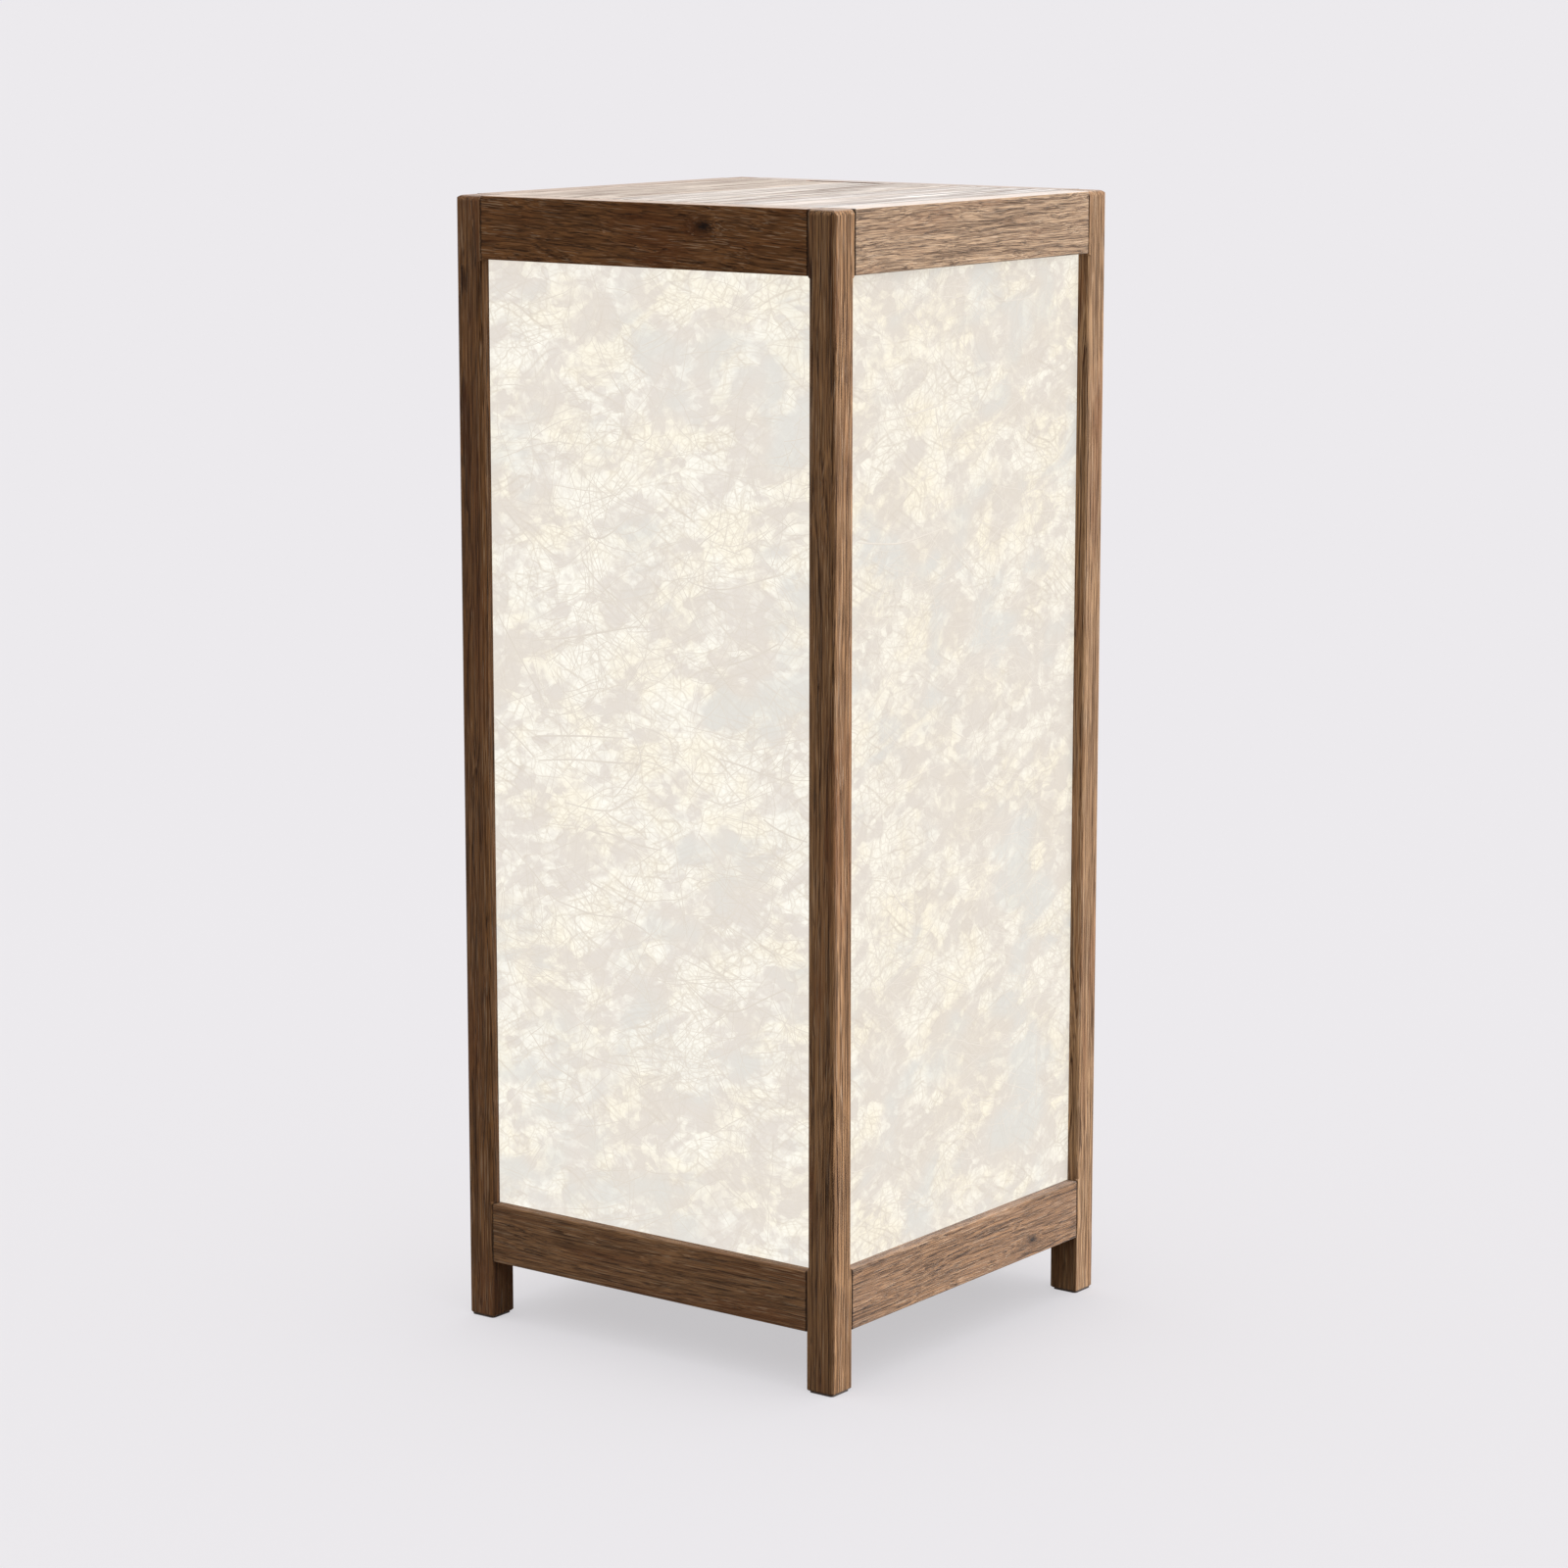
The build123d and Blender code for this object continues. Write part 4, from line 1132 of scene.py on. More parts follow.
@dataclass(frozen=True)
class MetalFinish:
    """Turned, rolled or plated metal with tool lines and a little tarnish."""

    colour: Colour
    tarnish: Colour
    roughness: float = 0.3
    pitch: float = 0.25
    relief: float = 0.00004

    def material(self, name: str) -> bpy.types.Material:
        """Builds the finish.

        Args:
            name: The material's name.

        Returns:
            The material.
        """
        g = Surface(name)
        lines = shared(LatheLines).placed(g, Pitch=self.pitch)
        rough = g.scaled(lines["Line"], 0.16, self.roughness)
        return g.finished({
            "Base Color": g.mixed(g.times(lines["Wear"], 0.6), self.colour, self.tarnish),
            "Metallic": 1.0,
            "Roughness": g.scaled(lines["Wear"], 0.12, rough),
            "Normal": g.bump(lines["Line"], self.relief),
        })


@dataclass(frozen=True)
class AcrylicFinish:
    """Clear cast sheet with faint wiping marks."""

    clear: Colour = tint(250, 252, 251)
    wiped: Colour = tint(243, 248, 246)

    def material(self, name: str) -> bpy.types.Material:
        """Builds the finish.

        Args:
            name: The material's name.

        Returns:
            The material.
        """
        g = Surface(name)
        marks = shared(Mottle).placed(g, Coarse=40.0, Fine=3.0)
        return g.finished({
            "Base Color": g.mixed(marks["Slow"], self.clear, self.wiped),
            "Roughness": g.scaled(marks["Slow"], 0.05, 0.02),
            "Normal": g.bump(marks["Quick"], 0.00001),
            "IOR": 1.49,
            "Transmission Weight": 1.0,
        })


Fitting = Union[MouldedFinish, MetalFinish]


def dress(node: str, material: bpy.types.Material) -> None:
    """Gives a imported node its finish.

    Args:
        node: The node's name.
        material: The finish.
    """
    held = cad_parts[node].data.materials
    held.clear()
    held.append(material)
    LOG.info("%s dressed in %s", node, material.name)


# ---- Sub-assemblies


@dataclass
class OakFrame:
    """The four posts and eight rails.

    Attributes:
        finish: Oak of the bottom rails.
        deep: Darker oak of the top rails.
        pale: Paler, greyer oak of the two rails on the right, the side that the key lamp lights: a
            lit copy of the oak with painted sheen of that lamp.
        upright: Oak of the posts.
        changes: Colours that single pieces have of their own, among them the tone that the tops of
            three rails pale to, which is bleached wood with painted glare.
        knots: Place and radius in millimetres of each knot, by its piece.
        first_seed: Number that makes the first post's figure its own.
        seed_step: Step to the next piece's.
    """

    finish: OakFinish = OakFinish(
        dark=tint(66, 42, 24),
        light=tint(176, 134, 96),
        blush=tint(120, 76, 46),
        worn=tint(170, 134, 100),
        coarse=0.6,
        draw_out=1.7,
        sheen=0.16,
    )
    deep: OakFinish = OakFinish(
        dark=tint(60, 35, 17),
        light=tint(158, 112, 72),
        blush=tint(108, 62, 33),
        worn=tint(150, 112, 78),
        coarse=0.8,
        lean=-0.05,
        sheen=0.08,
        bleach_and_glare=0.9,
    )
    # A paler, greyer copy of the oak for the rails that face the key lamp: painted sheen of that
    # lamp.
    pale: OakFinish = OakFinish(
        dark=tint(88, 64, 44),
        light=tint(194, 162, 130),
        blush=tint(148, 114, 86),
        worn=tint(200, 172, 144),
        late=0.22,
        coarse=0.52,
        draw_out=1.15,
        crisp=1.5,
        relief=0.0006,
        sheen=0.26,
        bleach_and_glare=0.9,
        bleach_and_glare_from=0.45,
        faded=tint(231, 223, 215),
    )
    upright: OakFinish = OakFinish(
        dark=tint(66, 41, 23),
        light=tint(180, 138, 98),
        blush=tint(124, 79, 49),
        worn=tint(174, 138, 104),
        ring=6.4,
        late=0.36,
        coarse=0.6,
        draw_out=2.2,
        crisp=1.1,
        relief=0.0008,
        sheen=0.12,
        bleach_and_glare=0.25,
    )
    changes: Mapping[str, Mapping[str, Colour]] = field(
        default_factory=lambda: {
            # The first three give the tone that a rail's top pales to: bleached wood with painted
            # glare.
            "top_rail_left": {"faded": tint(188, 174, 160)},
            "top_rail_front": {"faded": tint(212, 198, 184)},
            "top_rail_back": {"faded": tint(206, 198, 190)},
            "post_front_left": {"dark": tint(55, 31, 15), "light": tint(161, 118, 79)},
            "post_front_right": {"dark": tint(64, 39, 22), "light": tint(180, 138, 98)},
            "post_back_right": {"dark": tint(78, 52, 32), "light": tint(198, 158, 119)},
            "bottom_rail_right": {"dark": tint(62, 39, 22), "light": tint(168, 128, 93)},
        }
    )
    knots: Mapping[str, tuple[Point, float]] = field(
        default_factory=lambda: {
            "top_rail_front": ((0.064, -0.190, 0.9235), 3.4),
            "bottom_rail_right": ((0.190, 0.0957, 0.0645), 1.7),
        }
    )
    first_seed: float = 1.7
    seed_step: float = 2.31

    def build(self) -> None:
        """Dresses every post and rail, each with its own figure."""
        grains = {
            f"post_{post}": Grain.ALONG_Z
            for post in ("front_left", "front_right", "back_left", "back_right")
        }
        for height in ("top", "bottom"):
            for side in SIDES:
                grain = Grain.ALONG_X if side in ("front", "back") else Grain.ALONG_Y
                grains[f"{height}_rail_{side}"] = grain
        seed = self.first_seed
        for node, grain in grains.items():
            knot, size = self.knots.get(node, (None, Board.knot_size))
            board = Board(node, grain, seed, knot, size, seam=PAPER_HALF)
            finish = replace(self.finish_of(board), **self.changes.get(node, {}))
            dress(node, finish.material(f"oak_{node}", board))
            seed += self.seed_step

    def finish_of(self, board: Board) -> OakFinish:
        """Picks the finish that a post or rail starts from.

        Args:
            board: The post or rail.

        Returns:
            The finish, before the piece's own changes.
        """
        if board.grain is Grain.ALONG_Z:
            return self.upright
        # The rails on the right, lit by the key lamp, take the paler copy with its painted sheen.
        if board.node.endswith("rail_right"):
            return self.pale
        return self.deep if board.node.startswith("top_rail") else self.finish


@dataclass
class Lid:
    """The lift-off lid: three boards and two battens.

    Attributes:
        finish: Oak of the boards, pale partly from bleaching and partly from painted glare of the
            light from above.
        lights: Colour of the light fibres of each board.
        under: Plain oak of the battens.
        board_seeds: Number that makes the first board's figure its own, and the step to the next.
        batten_seed: Number that makes the first batten's figure its own.
    """

    finish: OakFinish = OakFinish(
        dark=tint(124, 109, 98),
        light=tint(230, 226, 222),
        blush=tint(198, 184, 172),
        worn=tint(225, 214, 202),
        ring=4.0,
        late=0.60,
        coarse=2.6,
        draw_out=2.2,
        crisp=1.5,
        relief=0.0004,
        sheen=0.02,
        stain=tint(190, 150, 115),
    )
    lights: Mapping[str, Colour] = field(
        default_factory=lambda: {
            "left": tint(217, 206, 194),
            "centre": tint(226, 221, 215),
            "right": tint(232, 230, 228),
        }
    )
    under: OakFinish = OakFinish(
        dark=tint(150, 114, 78),
        light=tint(206, 172, 132),
        blush=tint(186, 146, 106),
        worn=tint(214, 186, 150),
        ring=4.0,
        relief=0.0002,
    )
    board_seeds: tuple[float, float] = (31.3, 3.7)
    batten_seed: float = 51.0

    def build(self) -> None:
        """Dresses the lid's boards and battens."""
        first, step = self.board_seeds
        for count, (name, light) in enumerate(self.lights.items()):
            board = Board(f"lid_board_{name}", Grain.ALONG_Y, first + step * count)
            finish = replace(self.finish, light=light)
            dress(board.node, finish.material(f"oak_{board.node}", board))
        for count, node in enumerate(("lid_batten_front", "lid_batten_back")):
            board = Board(node, Grain.ALONG_X, self.batten_seed + count, ends=True)
            dress(node, self.under.material(f"strip_{node}", board))


@dataclass
class InnerStrips:
    """Ledgers and glazing beads in plain sanded softwood."""

    finish: OakFinish = OakFinish(
        dark=tint(158, 122, 84),
        light=tint(212, 180, 140),
        blush=tint(194, 156, 114),
        worn=tint(220, 194, 158),
        ring=3.6,
        relief=0.0002,
    )
    seeds: tuple[float, float] = (70.0, 1.9)

    def build(self) -> None:
        """Dresses every strip along its own grain."""
        grains = {
            "lid_ledgers_long": Grain.ALONG_X,
            "lid_ledgers_short": Grain.ALONG_Y,
            "base_ledgers_long": Grain.ALONG_X,
            "base_ledgers_short": Grain.ALONG_Y,
        }
        grains.update({f"glazing_beads_{side}": Grain.ALONG_Z for side in SIDES})
        first, step = self.seeds
        for count, (node, grain) in enumerate(grains.items()):
            board = Board(node, grain, first + step * count, ends=True)
            dress(node, self.finish.material(f"strip_{node}", board))


class Strand(Enum):
    """Kinds of raised fibre, by the index of their material."""

    FINE = 0
    BARK = 1
    SILK = 2


@dataclass
class WashiPanels:
    """Four sheets of mulberry paper with raised fibres, each on its acrylic pane.

    Attributes:
        face: Middle of the lamp to a sheet's outer face.
        inner: Middle of the lamp to its inner face, before it is cockled.
        width: Width of a sheet.
        low: Lower edge of a sheet.
        high: Upper edge of a sheet.
        grid: Number of meshes across and up a sheet.
        cockle: How far a sheet stands in and out.
        cockle_spans: Width of the first sheet's cockles, and how much more each next one's have.
        calm_edge: Width of the edge where the cockles die out.
        wall: Thickness of the paper.
        paper_seeds: Number that makes the first sheet's pattern its own, and the step to the next.
        strands: Number of fine fibres on a sheet.
        first_draw: Seed of the first sheet's fibres.
        gathered: Share of the fine fibres that start in a tangle.
        bearings: The two main bearings of the fine fibres.
        fine_radius: Least and greatest radius of a fine fibre.
        bark_radius: Least and greatest radius of a clear fibre.
        silk_radius: Radius of a bright fibre.
        pressed: How much of a fibre's roundness is left.
        papers: Each side's finish.
        patches: Thin and thick places of each side.
        silky: Courses of each side's bright fibres.
        tangles: Places of each side where fine fibres gather.
        bold: Courses of each side's clearest fibres.
    """

    face: float = 0.1800
    inner: float = 0.1795
    width: float = 0.340
    low: float = 0.094
    high: float = 0.895
    grid: tuple[int, int] = (48, 112)
    cockle: float = 0.0011
    cockle_spans: tuple[float, float] = (0.045, 0.004)
    calm_edge: float = 0.030
    wall: float = 0.00036
    paper_seeds: tuple[float, float] = (0.4, 3.1)
    strands: int = 900
    first_draw: int = 41
    gathered: float = 0.45
    bearings: tuple[float, float] = (0.35, -0.6)
    fine_radius: tuple[float, float] = (0.00020, 0.00042)
    bark_radius: tuple[float, float] = (0.00060, 0.00090)
    silk_radius: float = 0.0006
    pressed: float = 0.42
    papers: Mapping[str, WashiFinish] = field(
        default_factory=lambda: {
            "front": WashiFinish(glow=0.995),
            # The right sheet's painted glow is weaker, as the key lamp lights that side too.
            "right": WashiFinish(glow=0.885, cell=tint(255, 250, 237), pulp=tint(229, 221, 211)),
            "back": WashiFinish(),
            "left": WashiFinish(),
        }
    )
    patches: Mapping[str, Sequence[Patch]] = field(
        default_factory=lambda: {
            "front": (
                (-102, 828, 34, 0.8), (-25, 785, 26, 0.7), (60, 688, 40, 1.0), (-63, 694, 26, 0.8),
                (-108, 640, 40, 0.7), (-36, 556, 44, 0.7), (-88, 469, 36, 0.8), (13, 485, 32, 0.9),
                (96, 470, 40, 1.2), (55, 314, 36, 0.9), (-113, 325, 32, 0.7), (61, 189, 40, 0.7),
                (130, 770, 60, -1.2), (122, 575, 46, -1.3), (84, 409, 34, -1.4),
                (-119, 707, 30, -1.0), (10, 820, 46, -0.8), (-3, 314, 30, -1.0),
                (-60, 108, 60, -0.9), (70, 112, 70, -1.1), (122, 290, 36, -1.0),
            ),
            "right": (
                (-84, 735, 36, 1.1), (-3, 765, 36, 0.8), (27, 661, 34, 1.0), (-84, 597, 34, 0.8),
                (-84, 405, 42, 1.1), (-11, 338, 36, 1.2), (-52, 315, 32, 1.0), (-40, 800, 34, 0.8),
                (104, 757, 34, 0.7), (90, 470, 34, 0.6),
                (4, 714, 26, -0.9), (34, 590, 46, -1.4), (0, 480, 34, -1.2), (40, 405, 40, -1.2),
                (8, 246, 40, -1.4), (-113, 250, 40, -1.1), (81, 180, 60, -1.0),
                (112, 373, 30, -0.9), (-120, 660, 34, -0.9), (60, 840, 50, -0.9),
            ),
            "back": (
                (-70, 740, 50, 1.0), (60, 600, 60, 0.9), (-40, 420, 50, 1.0), (80, 260, 50, 0.8),
                (90, 780, 50, -1.1), (-110, 580, 50, -1.2), (60, 430, 50, -1.1),
                (-80, 200, 60, -1.0),
            ),
            "left": (
                (70, 760, 50, 0.9), (-60, 640, 50, 1.0), (50, 480, 60, 1.0), (-80, 300, 50, 0.9),
                (-90, 800, 50, -1.1), (100, 620, 50, -1.0), (-60, 460, 50, -1.2),
                (60, 220, 60, -1.0),
            ),
        }
    )
    silky: Mapping[str, Sequence[Run]] = field(
        default_factory=lambda: {
            "right": (
                ((115, 562), (116, 545), (117, 525), (118, 512), (122, 500)),
                ((117, 877), (116, 864), (117, 850)),
                ((113, 226), (114, 208), (115, 190), (113, 176)),
            ),
        }
    )
    tangles: Mapping[str, Sequence[Tangle]] = field(
        default_factory=lambda: {
            "front": (
                (81, 404, 46), (-6, 307, 52), (114, 706, 60), (-76, 707, 44), (124, 533, 60),
                (-140, 330, 40), (-40, 620, 60), (60, 640, 50), (-90, 520, 60), (20, 240, 60),
            ),
            "right": (
                (16, 422, 50), (30, 583, 56), (133, 671, 44), (-60, 850, 60), (60, 780, 60),
                (-110, 640, 50), (-120, 330, 40), (100, 300, 60), (-20, 200, 60),
            ),
            "back": ((-70, 250, 60), (40, 460, 70), (-100, 640, 60), (90, 780, 60)),
            "left": ((60, 300, 60), (-60, 520, 70), (100, 660, 60), (-20, 820, 60)),
        }
    )
    bold: Mapping[str, Sequence[Run]] = field(
        default_factory=lambda: {
            "front": (
                ((-163, 606), (-144, 577), (-125, 552), (-106, 526)),
                ((-153, 690), (-135, 673), (-120, 660)),
                ((39, 643), (56, 638), (79, 639), (104, 647), (134, 656)),
                ((-121, 581), (-82, 586), (-42, 596), (-12, 602)),
                ((-37, 460), (-15, 481), (-7, 498), (-17, 512)),
                ((58, 585), (70, 571), (86, 557)),
                ((79, 579), (104, 586), (129, 601)),
                ((104, 706), (120, 702), (137, 694)),
                ((-77, 678), (-63, 670), (-46, 669), (-32, 680)),
                ((-119, 502), (-93, 505), (-58, 508), (-22, 510)),
                ((-116, 482), (-82, 487), (-42, 488), (-17, 490)),
                ((-162, 512), (-137, 498), (-121, 484)),
                ((70, 503), (89, 501), (114, 495), (144, 491)),
                ((-69, 651), (-53, 632), (-22, 618), (-1, 598)),
                ((-160, 417), (-140, 402), (-119, 384), (-103, 367), (-82, 364), (-58, 359),
                 (-32, 362), (-6, 355), (7, 345)),
                ((-130, 253), (-116, 237), (-103, 225), (-77, 217)),
                ((-69, 430), (-42, 431), (-17, 423), (11, 422)),
                ((49, 440), (65, 427), (77, 413)),
                ((-69, 242), (-51, 236), (-18, 239)),
                ((31, 320), (51, 305), (72, 298), (91, 300), (109, 311), (136, 325)),
                ((43, 340), (65, 331), (84, 319), (101, 306)),
                ((114, 459), (131, 449), (157, 446)),
                ((-89, 450), (-63, 447), (-37, 448), (-20, 460)),
            ),
            "right": (
                ((-41, 776), (-35, 755), (-23, 728)),
                ((-46, 634), (-16, 641), (13, 650), (51, 672)),
                ((-16, 669), (1, 651), (17, 639)),
                ((-51, 649), (-44, 632), (-38, 612)),
                ((-146, 681), (-103, 674), (-69, 675), (-32, 680)),
                ((-92, 867), (-72, 854), (-53, 837)),
                ((-110, 813), (-103, 801), (-91, 780)),
                ((-133, 772), (-99, 773), (-62, 776), (-23, 781), (39, 785)),
                ((59, 825), (74, 804)),
                ((-146, 472), (-103, 478), (-72, 484), (-28, 489)),
                ((-6, 536), (17, 517), (24, 478), (48, 455)),
                ((-40, 359), (-58, 344), (-73, 334)),
                ((-144, 402), (-126, 376), (-116, 341)),
                ((-56, 328), (-16, 309), (11, 299)),
                ((-99, 398), (-85, 380), (-65, 371)),
            ),
            "back": (
                ((-150, 700), (-110, 690), (-70, 702), (-40, 730)),
                ((60, 560), (90, 540), (128, 536)),
                ((-90, 410), (-60, 380), (-52, 340), (-20, 316)),
                ((20, 250), (60, 236), (110, 246)),
                ((-20, 640), (10, 620), (52, 616)),
            ),
            "left": (
                ((-140, 300), (-104, 322), (-66, 326), (-30, 350)),
                ((30, 470), (52, 500), (60, 548)),
                ((-60, 660), (-20, 650), (30, 668), (70, 662)),
                ((60, 790), (96, 770), (130, 766)),
                ((-30, 210), (10, 226), (52, 220)),
            ),
        }
    )

    def build(self) -> None:
        """Makes the four sheets and their fibres and dresses the panes."""
        fibre_finishes = {
            "washi_fine_fibre": StrandFinish(tint(233, 225, 214), tint(226, 218, 207)),
            "washi_bark_fibre": StrandFinish(tint(208, 200, 190), tint(218, 210, 201)),
            "washi_silk_fibre": StrandFinish(tint(254, 251, 242), tint(250, 245, 232), glow=0.98),
        }
        materials = [finish.material(name) for name, finish in fibre_finishes.items()]
        clear = AcrylicFinish().material("clear_acrylic")
        for count, side in enumerate(SIDES):
            sheet = self.sheet(side, count)
            fibres = self.fibres(side, count, sheet)
            sheet.data.materials.append(self.paper(side, count))
            for material in materials:
                fibres.data.materials.append(material)
            for piece in (sheet, fibres):
                piece.data.transform(Matrix.Rotation(math.pi / 2 * count, 4, "Z"))
                piece.data.update()
            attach(sheet, "frame")
            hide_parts(f"washi_{side}")
            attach(fibres, "frame")
            dress(f"acrylic_pane_{side}", clear)
            LOG.info("%s and %s made", sheet.name, fibres.name)

    def paper(self, side: str, count: int) -> bpy.types.Material:
        """Builds a side's paper, with its thin and thick places in the pattern's own plane.

        Args:
            side: The side's name.
            count: The side's number.

        Returns:
            The material.
        """
        turn = (math.pi / 2, 0.0 if side in ("front", "back") else math.pi / 2, 0.0)
        # The plane's second axis runs down the sheet, and its first runs with the world's axes.
        sign = 1.0 if side in ("front", "right") else -1.0
        laid = [
            (sign * across, -up, radius, lift)
            for across, up, radius, lift in self.patches[side]
        ]
        first, step = self.paper_seeds
        seed = step * count + first
        return self.papers[side].material(f"washi_{side}_paper", turn, seed, laid)

    def sheet(self, side: str, count: int) -> bpy.types.Object:
        """Models one cockled sheet in the front's plane.

        Args:
            side: The side's name.
            count: The side's number.

        Returns:
            The sheet.
        """
        bpy.ops.object.select_all(action="DESELECT")
        across, up = self.grid
        bpy.ops.mesh.primitive_grid_add(x_subdivisions=across, y_subdivisions=up, size=1.0)
        piece = bpy.context.object
        piece.name = f"washi_sheet_{side}"
        piece.scale = (self.width, self.high - self.low, 1.0)
        piece.rotation_euler = (math.pi / 2, 0.0, 0.0)
        piece.location = (0.0, -(self.face + self.inner) / 2, (self.low + self.high) / 2)
        bpy.ops.object.transform_apply(location=True, rotation=True, scale=True)
        opening = piece.vertex_groups.new(name="inside_opening")
        for vertex in piece.data.vertices:
            x, _, z = vertex.co
            gap = min(PAPER_HALF - abs(x), z - PAPER_LOW, PAPER_HIGH - z)
            share = max(0.0, min(1.0, gap / self.calm_edge))
            opening.add([vertex.index], share, "REPLACE")
        clouds = bpy.data.textures.new(f"cockle_{side}", "CLOUDS")
        first, step = self.cockle_spans
        clouds.noise_scale = first + step * count
        clouds.noise_depth = 2
        cockle = piece.modifiers.new("cockle", "DISPLACE")
        cockle.texture = clouds
        cockle.texture_coords = "LOCAL"
        cockle.vertex_group = opening.name
        cockle.strength = self.cockle
        cockle.mid_level = 0.35
        bpy.ops.object.modifier_apply(modifier=cockle.name)
        wall = piece.modifiers.new("wall", "SOLIDIFY")
        wall.thickness = self.wall
        wall.offset = 0.0
        bpy.ops.object.modifier_apply(modifier=wall.name)
        bpy.ops.object.shade_smooth_by_angle(angle=math.radians(35))
        return piece

    def fibres(self, side: str, count: int, sheet: bpy.types.Object) -> bpy.types.Object:
        """Models one sheet's raised fibres as flattened strands, pressed on its cockles.

        Args:
            side: The side's name.
            count: The side's number.
            sheet: The sheet, in the front's plane.

        Returns:
            The fibres, with a material index for each kind of strand.
        """
        draw = random.Random(self.first_draw + count)
        bpy.ops.object.select_all(action="DESELECT")
        curve = bpy.data.curves.new(f"washi_fibres_{side}", "CURVE")
        curve.dimensions = "3D"
        curve.bevel_depth = 1.0
        curve.bevel_resolution = 0
        curve.resolution_u = 3
        curve.use_fill_caps = True
        for run in self.bold[side]:
            self.strand(curve, metres(run), draw.uniform(*self.bark_radius), Strand.BARK, True)
        for run in self.silky.get(side, ()):
            self.strand(curve, metres(run), self.silk_radius, Strand.SILK, True)
        for _ in range(self.strands):
            run = self.wander(side, draw)
            radius = draw.uniform(*self.fine_radius)
            kind = Strand.FINE if draw.random() < 0.93 else Strand.BARK
            self.strand(curve, run, radius, kind, False)
        piece = bpy.data.objects.new(curve.name, curve)
        bpy.context.collection.objects.link(piece)
        bpy.context.view_layer.objects.active = piece
        piece.select_set(True)
        bpy.ops.object.convert(target="MESH")
        piece = bpy.context.object
        self.press(piece, sheet)
        return piece

    def wander(self, side: str, draw: random.Random) -> list[tuple[float, float]]:
        """Draws one fine fibre's course, which starts more often in a tangle.

        Args:
            side: The side's name.
            draw: The random source.

        Returns:
            Places across and up, in metres.
        """
        if draw.random() < self.gathered:
            x, z, spread = draw.choice(self.tangles[side])
            x, z = draw.gauss(x, spread * 0.6) * MM, draw.gauss(z, spread * 0.6) * MM
        else:
            x = draw.uniform(-PAPER_HALF, PAPER_HALF)
            z = draw.uniform(PAPER_LOW, PAPER_HIGH)
        bearing = draw.gauss(self.bearings[0 if draw.random() < 0.5 else 1], 0.75)
        bend = draw.gauss(0.0, 9.0)
        steps = 7
        step = draw.uniform(0.022, 0.085) / steps
        run = [(x, z)]
        for _ in range(steps):
            bearing += bend * step + draw.gauss(0.0, 0.10)
            x += math.cos(bearing) * step
            z += math.sin(bearing) * step
            run.append((x, z))
        return run

    def strand(
        self,
        curve: bpy.types.Curve,
        run: Sequence[tuple[float, float]],
        radius: float,
        kind: Strand,
        smooth: bool,
    ) -> None:
        """Adds one strand, cut off where the paper goes behind the frame.

        Args:
            curve: The curve to add to.
            run: Places across and up, in metres.
            radius: The strand's radius in metres.
            kind: Which fibre it is.
            smooth: Whether its line is smoothed.
        """
        edge = 0.0004
        kept = [
            (x, z)
            for x, z in run
            if abs(x) < PAPER_HALF - edge and PAPER_LOW + edge < z < PAPER_HIGH - edge
        ]
        if len(kept) < 3:
            return
        spline = curve.splines.new("NURBS" if smooth else "POLY")
        last = len(kept) - 1
        spline.points.add(last)
        for index, (point, (x, z)) in enumerate(zip(spline.points, kept)):
            point.co = (x, -self.face, z, 1.0)
            # Each strand is thickest in its middle.
            share = math.sin(math.pi * (index + 0.6) / (last + 1.2))
            point.radius = radius * (0.45 + 0.55 * share)
        if smooth:
            spline.order_u = 3
            spline.use_endpoint_u = True
        spline.material_index = kind.value

    def press(self, fibres: bpy.types.Object, sheet: bpy.types.Object) -> None:
        """Flattens the fibres and lays them on the sheet's cockles.

        Args:
            fibres: The fibres' mesh.
            sheet: The sheet.
        """
        surface = BVHTree.FromPolygons(
            [vertex.co for vertex in sheet.data.vertices],
            [tuple(face.vertices) for face in sheet.data.polygons],
        )
        for vertex in fibres.data.vertices:
            x, y, z = vertex.co
            met = surface.ray_cast(Vector((x, -1.0, z)), Vector((0.0, 1.0, 0.0)))[0]
            level = met.y if met else -self.face
            vertex.co.y = level + (y + self.face) * self.pressed
        fibres.data.update()


@dataclass
class Fittings:
    """Small pieces, each with one of a few plain finishes.

    Attributes:
        finishes: The finish and the nodes that wear it, by the material's name.
    """

    finishes: Mapping[str, tuple[Fitting, Sequence[str]]]

    def build(self) -> None:
        """Dresses the pieces."""
        for name, (finish, nodes) in self.finishes.items():
            material = finish.material(name)
            for node in nodes:
                dress(node, material)


